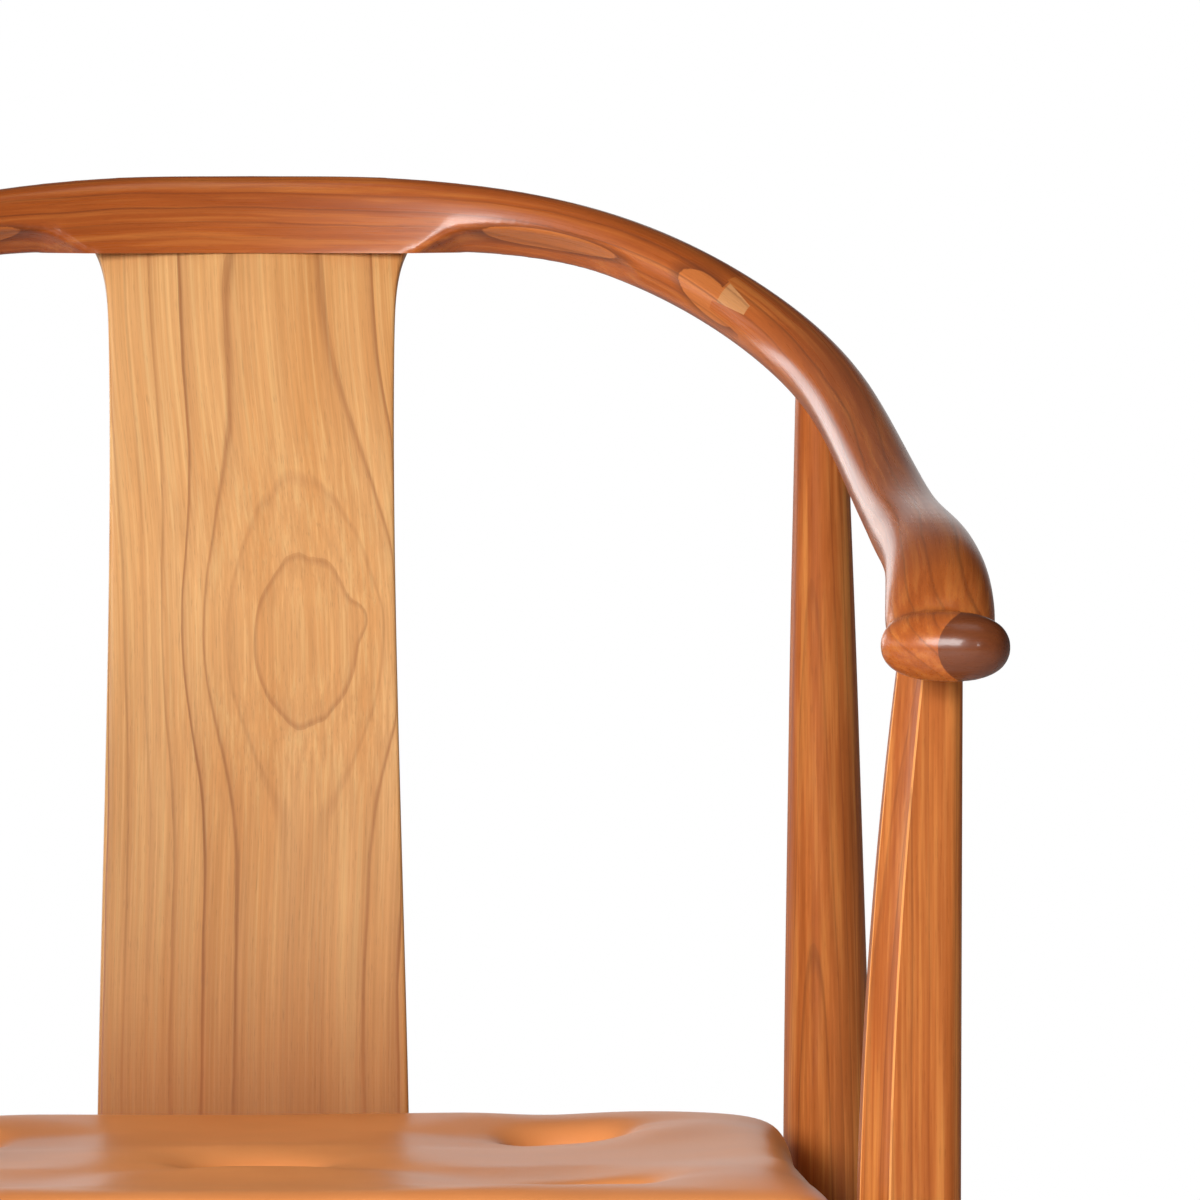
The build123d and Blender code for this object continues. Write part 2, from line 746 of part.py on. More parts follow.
with BuildPart() as arm_left:
    add(arm_blank.part)
    add(leg_top_peg(front_head, front_peg_foot, mortise_extra, glue_gap), mode=Mode.SUBTRACT)
    add(leg_top_peg(rear_head, rear_peg_foot, mortise_extra, glue_gap), mode=Mode.SUBTRACT)

with BuildPart() as crest_blank:
    add(rail_half.part)
    add(arm_side.part, mode=Mode.SUBTRACT)
    mirror(about=Plane.YZ)

tongue_run = tongue_length + mortise_extra
splat_groove = splat_board(tongue_width + 2 * glue_gap, tongue_thickness + 2 * glue_gap, tongue_run)
with BuildPart() as crest_rail:
    add(crest_blank.part)
    add(splat_groove, mode=Mode.SUBTRACT)

with BuildPart() as back_splat:
    add(splat_board(2 * splat_top_width, splat_thickness, tongue_length))
    add(splat_front.part, mode=Mode.INTERSECT)
    add(crest_blank.part, mode=Mode.SUBTRACT)
    add(seat_rail_back.part, mode=Mode.SUBTRACT)
    add(splat_board(tongue_width, tongue_thickness, tongue_length))

with BuildPart() as grooved_back_rail:
    add(seat_rail_back.part)
    add(splat_groove, mode=Mode.SUBTRACT)
    for hole in rail_screw_holes:
        add(hole, mode=Mode.SUBTRACT)

with BuildPart() as bored_front_rail:
    add(seat_rail_front.part)
    for hole in rail_screw_holes:
        add(hole, mode=Mode.SUBTRACT)

with BuildPart() as bored_side_rail:
    add(seat_rail_left.part)
    for hole in rail_screw_holes:
        add(hole, mode=Mode.SUBTRACT)

# ---- Foot glides, each with its pin -----------------------------------------------------------------
with BuildPart() as foot_glides:
    for x, y, _ in (front_leg_point(glide_thickness), rear_leg_point(glide_thickness)):
        for side in (-1, 1):
            with BuildSketch():
                with Locations((side * x, y)):
                    Circle(glide_diameter / 2)
            extrude(amount=glide_thickness)
            with BuildSketch():
                with Locations((side * x, y)):
                    Circle(glide_pin_diameter / 2)
            extrude(amount=glide_thickness + glide_pin_length)

# ---- Cushion ------------------------------------------------------------------------------------------
cushion_half_width = front_leg_inner_x - cushion_clearance
cushion_front_y = front_leg_front_y - cushion_nose
cushion_back_y = splat_foot_y - splat_thickness / 2 - cushion_clearance
cushion_middle_y = (cushion_front_y + cushion_back_y) / 2
tuft_row = cushion_middle_y - front_leg_y
tuft_places = [(0, tuft_row)] + [
    (side * tuft_spacing_x, tuft_row + way * tuft_spacing_y) for side in (-1, 1) for way in (-1, 1)
]


def cushion_outline(inset):
    """The cushion's plan, so far in from its edge."""
    with BuildSketch() as made:
        with Locations((0, cushion_middle_y)):
            Rectangle(2 * (cushion_half_width - inset), cushion_back_y - cushion_front_y - 2 * inset)
        fillet(made.vertices().group_by(Axis.Y)[0], cushion_front_corner - inset)
        fillet(made.vertices().group_by(Axis.Y)[-1], cushion_rear_corner - inset)
    return made.sketch


def tufts(level, depth, bottom_diameter, top_diameter):
    """A cone at every tuft, standing on this level above the seat frame."""
    with BuildPart(seat_plane.offset(level)) as made:
        with Locations(*tuft_places):
            Cone(
                bottom_diameter / 2,
                top_diameter / 2,
                depth,
                align=(Align.CENTER, Align.CENTER, Align.MIN),
            )
    return made.part


def cushion_body(inset):
    """The tufted cushion's shape, so far inside its leather."""
    low = rest_gap + inset
    high = rest_gap + cushion_thickness - inset
    with BuildPart() as made:
        with BuildSketch():
            add(cushion_outline(inset))
        extrude(amount=far)
        add(seat_slab(low, high), mode=Mode.INTERSECT)
        fillet(made.faces().sort_by(Axis.Z)[-1].edges(), cushion_top_round - inset)
        fillet(made.faces().sort_by(Axis.Z)[0].edges(), cushion_bottom_round - inset)
        add(
            tufts(
                high - tuft_depth,
                tuft_depth + inset,
                tuft_floor + 2 * inset,
                tuft_mouth + 2 * inset,
            ),
            mode=Mode.SUBTRACT,
        )
        add(
            tufts(
                rest_gap,
                underside_tuft_depth + inset,
                underside_tuft_mouth + 2 * inset,
                tuft_floor + 2 * inset,
            ),
            mode=Mode.SUBTRACT,
        )
    return made.part


twine_low = rest_gap + underside_tuft_depth
twine_high = rest_gap + cushion_thickness - tuft_depth
with BuildPart(seat_plane.offset(twine_low)) as tuft_twines:
    with Locations(*tuft_places):
        Cylinder(
            twine_diameter / 2,
            twine_high - twine_low,
            align=(Align.CENTER, Align.CENTER, Align.MIN),
        )

with BuildPart(seat_plane.offset(twine_low)) as twine_holes:
    with Locations(*tuft_places):
        Cylinder(
            twine_diameter / 2 + twine_hole_gap,
            twine_high - twine_low,
            align=(Align.CENTER, Align.CENTER, Align.MIN),
        )


def buttons(level, way):
    """The five buttons, resting on this level, with their rounded faces turned this way."""
    with BuildPart() as made:
        with BuildSketch(seat_plane.offset(level)):
            with Locations(*tuft_places):
                Circle(button_diameter / 2)
        extrude(amount=way * button_thickness)
        rims = made.faces().filter_by(lambda face: face.normal_at().Z * way > 0.9).edges()
        fillet(rims, button_round)
    return made.part


leather_shell = cushion_body(0) - cushion_body(leather_thickness)
with BuildPart() as base_zone:
    with BuildSketch():
        add(cushion_outline(base_seam))
    extrude(amount=far)
    add(seat_slab(-far, underside_tuft_depth + 2 * leather_thickness), mode=Mode.INTERSECT)

with BuildPart() as cushion_cover:
    add(leather_shell)
    add(base_zone.part, mode=Mode.SUBTRACT)
    add(twine_holes.part, mode=Mode.SUBTRACT)

with BuildPart() as cushion_base:
    add(leather_shell)
    add(base_zone.part, mode=Mode.INTERSECT)
    add(twine_holes.part, mode=Mode.SUBTRACT)

with BuildPart() as cushion_core:
    add(cushion_body(leather_thickness + foam_gap))
    add(twine_holes.part, mode=Mode.SUBTRACT)

# ---- Every piece, by its name -------------------------------------------------------------------------
pieces = {
    "crest_rail": crest_rail.part,
    "arm_left": arm_left.part,
    "arm_right": other_side(arm_left.part),
    "back_splat": back_splat.part,
    "front_leg_left": front_leg_left.part,
    "front_leg_right": other_side(front_leg_left.part),
    "rear_leg_left": rear_leg_left.part,
    "rear_leg_right": other_side(rear_leg_left.part),
    "seat_rail_front": bored_front_rail.part,
    "seat_rail_back": grooved_back_rail.part,
    "seat_rail_left": bored_side_rail.part,
    "seat_rail_right": other_side(bored_side_rail.part),
    "seat_panel": bored_panel.part,
    "corner_block_screws": corner_block_screws.part,
    "seat_panel_screws": seat_panel_screws.part,
    "foot_glides": foot_glides.part,
    "cushion_cover": cushion_cover.part,
    "cushion_base": cushion_base.part,
    "cushion_core": cushion_core.part,
    "tuft_buttons_top": buttons(twine_high, 1),
    "tuft_buttons_bottom": buttons(twine_low, -1),
    "tuft_twines": tuft_twines.part,
}
pieces.update(corner_blocks)
pieces.update(stretchers)

os.makedirs("parts", exist_ok=True)
for name, piece in pieces.items():
    piece.label = name
    export_step(piece, "parts/" + name + ".step")
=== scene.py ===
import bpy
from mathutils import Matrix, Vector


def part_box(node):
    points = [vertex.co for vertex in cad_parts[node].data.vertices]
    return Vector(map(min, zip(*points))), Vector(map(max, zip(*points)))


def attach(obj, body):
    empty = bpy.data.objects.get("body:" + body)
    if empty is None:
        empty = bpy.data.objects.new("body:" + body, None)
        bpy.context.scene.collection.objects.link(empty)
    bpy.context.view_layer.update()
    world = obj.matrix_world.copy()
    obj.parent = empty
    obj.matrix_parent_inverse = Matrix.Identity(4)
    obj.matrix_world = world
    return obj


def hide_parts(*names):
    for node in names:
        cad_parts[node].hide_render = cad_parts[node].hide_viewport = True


bl_info = {
    "name": "Horseshoe back armchair",
    "version": (1, 0, 0),
    "blender": (4, 5, 0),
    "location": "View3D > Sidebar > Armchair",
    "description": "Finishes a cherry armchair with a loose leather cushion around its CAD frame",
    "category": "Add Mesh",
}

from math import atan2, cos, exp, hypot, pi, radians, sin, sqrt, tan

import bmesh
import bpy
from bpy.props import FloatProperty, FloatVectorProperty, IntProperty, PointerProperty
from mathutils import Vector, noise
from mathutils.bvhtree import BVHTree
from mathutils.kdtree import KDTree

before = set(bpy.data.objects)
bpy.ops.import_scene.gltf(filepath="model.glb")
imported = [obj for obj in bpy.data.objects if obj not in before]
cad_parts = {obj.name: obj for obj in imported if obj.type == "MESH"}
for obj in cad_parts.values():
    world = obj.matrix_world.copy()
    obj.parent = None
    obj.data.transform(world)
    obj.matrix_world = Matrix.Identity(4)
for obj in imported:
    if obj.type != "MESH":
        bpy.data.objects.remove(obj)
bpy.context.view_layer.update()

MM = 0.001

# The horseshoe rail's half line: share of the spread, of the way back, and of the rise to the crest.
RAIL_LINE = (
    (0.000, 1.000, 1.000),
    (0.579, 0.925, 0.927),
    (0.865, 0.800, 0.669),
    (0.966, 0.604, 0.432),
    (1.001, 0.325, 0.233),
    (1.005, 0.045, 0.074),
    (1.001, 0.000, 0.000),
)
# Sections along it: share of its length, half width and half height in millimetres, squareness,
# lean in degrees.
RAIL_SECTIONS = (
    (0.000, 12.5, 15.5, 3.6, 17.0),
    (0.070, 12.5, 15.0, 3.6, 17.0),
    (0.140, 12.6, 13.7, 3.0, 13.0),
    (0.220, 12.6, 12.7, 2.6, 6.0),
    (0.310, 12.8, 12.7, 2.3, 0.0),
    (0.390, 13.0, 13.1, 2.2, 0.0),
    (0.470, 13.2, 13.3, 2.2, 0.0),
    (0.550, 13.6, 13.3, 2.2, 0.0),
    (0.635, 14.1, 13.4, 2.2, 0.0),
    (0.715, 14.8, 13.6, 2.2, 0.0),
    (0.795, 16.7, 14.0, 2.2, 0.0),
    (0.880, 18.0, 15.0, 2.3, 0.0),
    (0.950, 20.0, 16.4, 2.3, 0.0),
    (0.980, 20.0, 14.0, 2.3, 0.0),
    (1.000, 17.8, 10.0, 2.3, 0.0),
)
# The ridge on the crest's front: share, how far the hollow under it is cut, its height on the face.
RIDGE = (
    (0.0975, 0.00, -1.00),
    (0.1000, 0.50, -0.88),
    (0.1055, 0.75, -0.81),
    (0.1115, 0.90, -0.78),
    (0.1195, 1.00, -0.71),
    (0.1280, 1.00, -0.64),
    (0.1365, 1.00, -0.54),
    (0.1570, 1.00, -0.34),
    (0.1845, 0.95, -0.20),
    (0.2160, 0.80, -0.09),
    (0.2450, 0.45, -0.08),
    (0.2750, 0.00, -0.50),
)

# Shares of the half rail: where its front stops being square over the splat, where its lower half
# stops being deepened there, how quickly each fades, and the middle of the finger joint.
SQUARE_END, SQUARE_FADE = 0.125, 0.020
DEEP_END, DEEP_FADE = 0.130, 0.026
FINGER_JOINT = 0.335
# The rest of the sizes in capitals are in millimetres, unless they say otherwise.
DEEPENING = 10.0
RAIL_POLISH = 13  # rounds of smoothing
FINGER_MIDDLES = (-6.5, 6.5)
KNOB_SHIFT = (0.8, -6.0, 0.0)  # from the arm's end to the knob's middle
KNOB_TURN = -24  # degrees
CREST_EDGE = 788  # height of the crest's lower edge over the splat

SPLAT_FOOT, SPLAT_TOP = 391.0, 792.5
SPLAT_THICKNESS, SPLAT_EDGE = 12.0, 1.6
FOOT_HALF, NECK_HALF, NECK_DROP = 64.8, 59.5, 88.0
EYE_X, EYE_Z = 21.9, 625.8

LEG_OUTER, LEG_FRONT = 261.8, -245.3  # outer and front faces of the left front leg
LEG_FOOT, LEG_STRETCHER, LEG_SHOULDER, LEG_SEAT, LEG_HEAD = 3.0, 185.0, 330.0, 404.0, 652.0
LEG_THICK, LEG_CORNER = 37.8, 8.0
COVE_LENGTH = 261.5  # from the seat up to where the cove would end inside the arm
COVE_RADIUS = 25.0
REAR_HEAD = (232.2, 128.7, 739.3)
REAR_OUT, REAR_BACK = 0.0153, 0.080  # how far the rear leg leans for each unit down

SEAT_LEVEL, SEAT_FRONT, SEAT_SLOPE = 0.404, -0.2264, 2.0  # in metres, metres and degrees


# ---- Small sums ----------------------------------------------------------------------------------
def clamp(value, low=0.0, high=1.0):
    return max(low, min(high, value))


def flow(t, a, b, start, end):
    """Smooth way from a to b as t goes from 0 to 1, with its slopes at both ends."""
    value = ((2 * t - 3) * t * t + 1) * a + ((t - 2) * t + 1) * t * start
    return value + ((3 - 2 * t) * t * t * b + (t - 1) * t * t * end)


def hump(across, up=0.0):
    """Bell curve: 1 in the middle, fading with the distance in widths."""
    return exp(-across ** 2 / 2 - up ** 2 / 2)


def fade(amount, value, middle, width):
    """The amount well below the middle, half of it there and nothing well above."""
    return amount / (1 + exp((value - middle) / width))


# ---- Sizes and colours a user may change ---------------------------------------------------------
def length(name, description, millimetres):
    return FloatProperty(name=name, description=description, default=millimetres * MM, unit="LENGTH")


def colour(name, description, value):
    return FloatVectorProperty(name=name, description=description, default=value, subtype="COLOR",
                               size=3, min=0.0, max=1.0)


class RailSettings(bpy.types.PropertyGroup):
    arm_spread: length("Arm spread", "From the middle plane to the arm's line at its front end", 252)
    crest_back: length("Crest back", "How far back the crest's line stands", 271)
    arm_front: length("Arm front", "How far forward the arm's line ends", 264)
    crest_height: length("Crest height", "Height of the crest's line", 804)
    arm_height: length("Arm height", "Height of the arm's line at its front end", 654)
    knob_length: length("Knob length", "Length of the rounded bar at each arm's end", 49.0)
    knob_diameter: length("Knob diameter", "Thickness of that bar", 26)
    hollow_radius: length("Hollow radius", "Radius of the hollow under the crest's ridge", 34)
    voxel: length("Mesh size", "Size of the rail's mesh before smoothing", 1.2)


class CushionSettings(bpy.types.PropertyGroup):
    pressure: FloatProperty(name="Pressure", description="How hard the filling pushes", default=3.0)
    cap: length("Swell limit", "Most that the leather may move as it fills", 6)
    mesh_size: length("Mesh size", "Size of the cushion's mesh before it is filled", 6)
    evening: IntProperty(name="Evening", description="How far the swelling is evened out", default=8)
    plump: length("Plumpness", "How full the cushion stays round each tuft", 7.0)
    dish: length("Dish", "How far the sat-on middle lies below the edges", 8)
    welt: length("Welt", "Thickness of the welt round the sides", 3.2)
    stitch: length("Stitch", "Length of one stitch", 3.2)
    stitch_gap: length("Stitch gap", "Space between two stitches", 1.6)
    thread: length("Thread", "Thickness of the thread", 0.9)


class FinishSettings(bpy.types.PropertyGroup):
    splat_light: colour("Splat", "Pale honey wood of the splat", (0.72, 0.41, 0.172))
    splat_dark: colour("Splat shade", "Darker wood of the splat", (0.60, 0.27, 0.082))
    frame_light: colour("Frame", "Wood of the legs and rails", (0.56, 0.175, 0.040))
    frame_dark: colour("Frame shade", "Darker wood of the legs and rails", (0.40, 0.105, 0.022))
    crest_light: colour("Crest", "Wood of the crest rail and arms", (0.545, 0.148, 0.030))
    crest_dark: colour("Crest shade", "Darker wood of the crest rail and arms", (0.345, 0.076, 0.013))
    ring: colour("Grain line", "Dark line at the end of each year's growth", (0.13, 0.034, 0.012))
    leather: colour("Leather", "Tan leather of the cushion", (0.93, 0.345, 0.105))


class StageSettings(bpy.types.PropertyGroup):
    eye_height: length("Eye height", "Height of the camera", 860)
    eye_distance: length("Eye distance", "From the camera to the chair's middle", 3585)
    key: FloatProperty(name="Key light", description="Power of the large light on the left, in watts",
                       default=140.0)
    top: FloatProperty(name="Top light", description="Power of the light above, in watts", default=5.5)
    side: FloatProperty(name="Side light", description="Power of the light behind on the left, in watts",
                        default=10.0)
    front: FloatProperty(name="Front light", description="Power of the light by the camera, in watts",
                         default=9.0)
    world: FloatProperty(name="Room light", description="Brightness of the room all round", default=0.17)


# ---- Shader helpers ------------------------------------------------------------------------------
class Recipe:
    """One material's nodes, added and joined in the order they are used."""

    def __init__(self, name):
        self.material = bpy.data.materials.new(name)
        self.material.use_nodes = True
        self.tree = self.material.node_tree
        self.shader = self.tree.nodes["Principled BSDF"]

    def feed(self, socket, value):
        """Joins a socket to the input or gives it a value; None leaves it as it is."""
        if isinstance(value, bpy.types.NodeSocket):
            self.tree.links.new(value, socket)
        elif value is not None:
            socket.default_value = (*value, 1.0) if socket.type == "RGBA" and len(value) == 3 else value

    def add(self, kind, inputs=(), output=0, **settings):
        node = self.tree.nodes.new("ShaderNode" + kind)
        for key, value in settings.items():
            setattr(node, key, value)
        for key, value in dict(inputs).items():
            self.feed(node.inputs[key], value)
        return node.outputs[output]

    def math(self, operation, a, b=None, c=None, clamp=False):
        return self.add("Math", {0: a, 1: b, 2: c}, operation=operation, use_clamp=clamp)

    def vector(self, operation, a, b=None, scale=None, output=0):
        inputs = {0: a, 1: b}
        if scale is not None:
            inputs["Scale"] = scale
        return self.add("VectorMath", inputs, output=output, operation=operation)

    def noise(self, vector, scale=1.0, detail=2.0, roughness=0.5):
        return self.add("TexNoise", {"Vector": vector, "Scale": scale, "Detail": detail,
                                     "Roughness": roughness})

    def ramp(self, factor, stops, interpolation="LINEAR"):
        node = self.tree.nodes.new("ShaderNodeValToRGB")
        node.color_ramp.interpolation = interpolation
        while len(node.color_ramp.elements) < len(stops):
            node.color_ramp.elements.new(0.5)
        for element, (position, value) in zip(node.color_ramp.elements, stops):
            element.position = position
            element.color = (*value, 1.0) if isinstance(value, tuple) else (value, value, value, 1.0)
        self.feed(node.inputs[0], factor)
        return node.outputs[0]

    def mix(self, factor, a, b):
        """Colour a at factor 0, colour b at factor 1."""
        node = self.tree.nodes.new("ShaderNodeMix")
        node.data_type = "RGBA"
        self.feed(node.inputs[0], factor)
        self.feed(node.inputs[6], a)
        self.feed(node.inputs[7], b)
        return node.outputs[2]

    def span(self, value, low, high):
        """value between 0 and 1 becomes a number between low and high."""
        return self.math("MULTIPLY_ADD", value, high - low, low)

    def finish(self, **inputs):
        for key, value in inputs.items():
            self.feed(self.shader.inputs[key.replace("_", " ")], value)
        return self.material


def scaled_colour(value, shares):
    return tuple(part * share for part, share in zip(value, shares))


def cherry_material(name, light, dark, ring, spacing=3.2, strength=0.5, streak=0.16, roughness=0.33,
                    waver=2.2, run=4, coat=0.22, band=0.55, foot=None, gloss=0.5, streaks=230.0):
    """Oiled cherry cut from a log. The grain attribute is each point's place in that log, a second
    attribute paints light: above 0 the wood turns pale as a painted highlight, below 0 it darkens
    towards foot, or else the ring colour, as painted shade, and figure draws lenses, end grain and knob
    caps."""
    wood = Recipe(name)
    pale = scaled_colour(light, (1.35, 1.75, 2.3))
    honey = scaled_colour(light, (1.06, 1.30, 1.35))
    deep = scaled_colour(dark, (0.74, 0.60, 0.45))
    end_grain = (0.56, 0.27, 0.105)
    place = wood.add("Attribute", output=1, attribute_name="grain")

    def drift(stretch, reach):
        """How far the rings wander from true circles."""
        cloud = wood.add("TexNoise", {"Vector": wood.vector("MULTIPLY", place, stretch), "Scale": 1.0,
                                      "Detail": 2.0}, output=1)
        return wood.vector("SCALE", wood.vector("SUBTRACT", cloud, (0.5, 0.5, 0.5)), scale=reach)

    wide = drift((15, 15, run), 2 * waver * MM)
    fine = drift((90, 90, 14), 0.9 * MM)
    moved = wood.vector("ADD", wood.vector("ADD", place, wide), fine)
    radius = wood.vector("LENGTH", wood.vector("MULTIPLY", moved, (1, 1, 0)), output=1)
    years = wood.math("DIVIDE", radius, spacing * MM)
    year = wood.math("FLOOR", years)
    season = wood.math("FRACT", years)
    late = wood.ramp(season, ((0.0, 0.30), (0.05, 0.0), (0.55, 0.04), (0.86, 0.24), (0.95, 1.0),
                              (1.0, 0.7)))
    heavy = wood.add("TexWhiteNoise", {"W": year}, noise_dimensions="1D")
    patchy = wood.noise(wood.vector("MULTIPLY", place, (30, 30, 6)), detail=2)
    line = wood.math("MULTIPLY", late, wood.span(heavy, 0.25, 1.0))
    line = wood.math("MULTIPLY", line, wood.span(patchy, 0.45, 1.35))
    line = wood.math("MULTIPLY", line, strength, clamp=True)

    board = wood.noise(wood.vector("MULTIPLY", place, (26, 26, 2.6)), detail=3, roughness=0.55)
    body = wood.mix(wood.ramp(board, ((0.30, 0.0), (0.72, 1.0))), light, dark)
    tint = wood.add("TexWhiteNoise", {"W": wood.math("ADD", year, 7.3)}, noise_dimensions="1D")
    body = wood.mix(wood.math("MULTIPLY", tint, 0.28), body, dark)
    streaked = wood.noise(wood.vector("MULTIPLY", moved, (streaks, streaks, 5)), detail=3, roughness=0.62)
    body = wood.mix(wood.ramp(streaked, ((0.44, 0.0), (0.68, band))), body, deep)
    body = wood.mix(wood.ramp(streaked, ((0.32, band), (0.49, 0.0))), body, honey)

    # Painted light: above 0 a painted highlight along the front legs' cove edges, below 0 painted shade at
    # the splat's foot.
    painted_light = wood.add("Attribute", output=2, attribute_name="painted_light")
    figure = wood.math("DIVIDE", wood.add("Attribute", output=2, attribute_name="figure"), 2.0)
    cap = wood.math("MULTIPLY", figure, -1.0)
    body = wood.mix(wood.ramp(figure, ((0.49, 0.0), (0.505, 0.34))), body, pale)
    body = wood.mix(wood.ramp(figure, ((0.80, 0.0), (0.86, 0.80))), body, end_grain)
    body = wood.mix(wood.ramp(cap, ((0.46, 0.0), (0.54, 0.90))), body, ring)
    body = wood.mix(wood.ramp(figure, ((0.30, 0.0), (0.47, 0.55), (0.49, 0.7), (0.51, 0.0))), body, ring)
    # Painted highlight where the attribute is above 0.
    body = wood.mix(wood.math("MULTIPLY", painted_light, 1.0, clamp=True), body, pale)
    body = wood.mix(line, body, ring)
    # Painted shade where it is below 0, towards the foot colour or else the ring colour.
    body = wood.mix(wood.math("MULTIPLY", painted_light, -1.0, clamp=True), body, foot or ring)

    fibre = wood.noise(wood.vector("MULTIPLY", place, (900, 900, 14)), detail=4, roughness=0.6)
    pore = wood.noise(wood.vector("MULTIPLY", place, (2600, 2600, 130)), detail=1)
    pore = wood.ramp(pore, ((0.62, 0.0), (0.72, 1.0)))
    fleck = wood.noise(wood.vector("MULTIPLY", place, (150, 150, 34)), detail=3, roughness=0.6)
    shade = wood.math("ADD", wood.span(fibre, 1 + streak, 1 - streak), wood.span(fleck, 0.07, -0.07))
    shade = wood.math("SUBTRACT", shade, wood.math("MULTIPLY", pore, 0.14))
    body = wood.vector("SCALE", body, scale=shade)
    relief = wood.math("ADD", wood.math("MULTIPLY", fibre, 0.6), wood.math("MULTIPLY", pore, -0.5))
    bump = wood.add("Bump", {"Strength": 0.10, "Distance": 0.2 * MM, "Height": relief})
    return wood.finish(Base_Color=body, Roughness=wood.span(fibre, roughness - 0.05, roughness + 0.08),
                       Normal=bump, IOR=1.47, Specular_IOR_Level=gloss, Coat_Weight=coat,
                       Coat_Roughness=0.13, Coat_IOR=1.45)


def leather_material(name, base):
    """Smooth tan leather with a fine pebbled grain."""
    hide = Recipe(name)
    place = hide.add("TexCoord", output=3)
    cloud = hide.noise(place, 9.0, 3, 0.6)
    patina = hide.noise(place, 2.6, 2)
    wobble = hide.add("TexNoise", {"Vector": place, "Scale": 400.0}, output=1)
    moved = hide.vector("ADD", place, hide.vector("SCALE", wobble, scale=0.0012))
    cells = hide.add("TexVoronoi", {"Vector": moved, "Scale": 1100.0}, feature="DISTANCE_TO_EDGE")
    cells = hide.math("POWER", cells, 0.5)
    wrinkles = hide.noise(place, 160.0, 4, 0.65)
    dark = scaled_colour(base, (0.80, 0.70, 0.60))
    pale = tuple(min(1.0, part) for part in scaled_colour(base, (1.08, 1.16, 1.30)))
    body = hide.mix(hide.ramp(cloud, ((0.32, 0.0), (0.70, 1.0))), dark, base)
    body = hide.mix(hide.ramp(patina, ((0.40, 0.0), (0.75, 0.7))), body, pale)
    body = hide.mix(hide.math("MULTIPLY", hide.math("SUBTRACT", 1.0, cells), 0.18), body, dark)
    relief = hide.math("ADD", hide.math("MULTIPLY", cells, 0.5), hide.math("MULTIPLY", wrinkles, 0.9))
    bump = hide.add("Bump", {"Strength": 0.22, "Distance": 0.25 * MM, "Height": relief})
    return hide.finish(Base_Color=body, Roughness=hide.span(cloud, 0.32, 0.42), Normal=bump, IOR=1.45,
                       Specular_IOR_Level=0.72)


def plain_material(name, base, roughness, metallic=0.0, grain=400.0):
    """A plain finish with a fine mottle: nylon, plated steel or linen."""
    depth, strength = 0.12, 0.1
    finish = Recipe(name)
    place = finish.add("TexCoord", output=3)
    mottle = finish.noise(place, grain, 3, 0.6)
    shade = finish.span(mottle, 1 + depth, 1 - depth)
    body = finish.vector("SCALE", tuple(base), scale=shade)
    relief = finish.add("Bump", {"Strength": strength, "Distance": 0.1 * MM, "Height": mottle})
    return finish.finish(Base_Color=body, Roughness=finish.span(mottle, roughness - 0.06, roughness + 0.06),
                         Normal=relief, Metallic=metallic)


# ---- Mesh helpers --------------------------------------------------------------------------------
def new_piece(name, mesh, body, material=None, replaced=()):
    """Puts a finished mesh in the scene as a piece that rides on a body."""
    piece = bpy.data.objects.new(name, mesh)
    bpy.context.scene.collection.objects.link(piece)
    if material:
        mesh.materials.clear()
        mesh.materials.append(material)
    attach(piece, body)
    if replaced:
        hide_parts(*replaced)
    return piece


def mesh_of(name, points, faces):
    mesh = bpy.data.meshes.new(name)
    mesh.from_pydata([tuple(point) for point in points], [], faces)
    mesh.update()
    return mesh


def face_outwards(mesh, merge=0.0):
    """Merges doubles, then turns every face outwards."""
    work = bmesh.new()
    work.from_mesh(mesh)
    if merge:
        bmesh.ops.remove_doubles(work, verts=work.verts, dist=merge)
    bmesh.ops.recalc_face_normals(work, faces=work.faces)
    work.to_mesh(mesh)
    work.free()


def smooth(mesh, angle=radians(35)):
    """Smooth shading, with edges sharper than the angle kept crisp."""
    mesh.shade_smooth()
    mesh.set_sharp_from_angle(angle=angle)


def baked(piece, name):
    """The piece's mesh with its modifiers applied; the working object is removed."""
    depsgraph = bpy.context.evaluated_depsgraph_get()
    mesh = bpy.data.meshes.new_from_object(piece.evaluated_get(depsgraph), depsgraph=depsgraph)
    mesh.name = name
    bpy.data.objects.remove(piece)
    return mesh


def working(name, mesh):
    """An object to work on, which baked() removes."""
    piece = bpy.data.objects.new(name, mesh)
    bpy.context.scene.collection.objects.link(piece)
    return piece


def add_skin(piece, size):
    """Gives the working object one even skin round all that is in it."""
    skin = piece.modifiers.new("skin", "REMESH")
    skin.mode = "VOXEL"
    skin.voxel_size = size


def add_polish(piece, rounds):
    polish = piece.modifiers.new("polish", "SMOOTH")
    polish.factor = 0.5
    polish.iterations = rounds


def surface_tree(mesh):
    """A mesh made ready for finding where a line meets it."""
    return BVHTree.FromPolygons([vertex.co for vertex in mesh.vertices],
                                [tuple(face.vertices) for face in mesh.polygons])


def clean_copy(name, merge, angle):
    """A copy of a CAD node with whole faces that point outwards."""
    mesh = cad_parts[name].data.copy()
    face_outwards(mesh, merge)
    smooth(mesh, angle)
    return mesh


def closed_curve(name, lines):
    """A curve that runs round through the points of each line."""
    curve = bpy.data.curves.new(name, "CURVE")
    curve.dimensions = "3D"
    for line in lines:
        spline = curve.splines.new("POLY")
        spline.points.add(len(line) - 1)
        for point, place in zip(spline.points, line):
            point.co = (*place, 1)
        spline.use_cyclic_u = True
    return curve


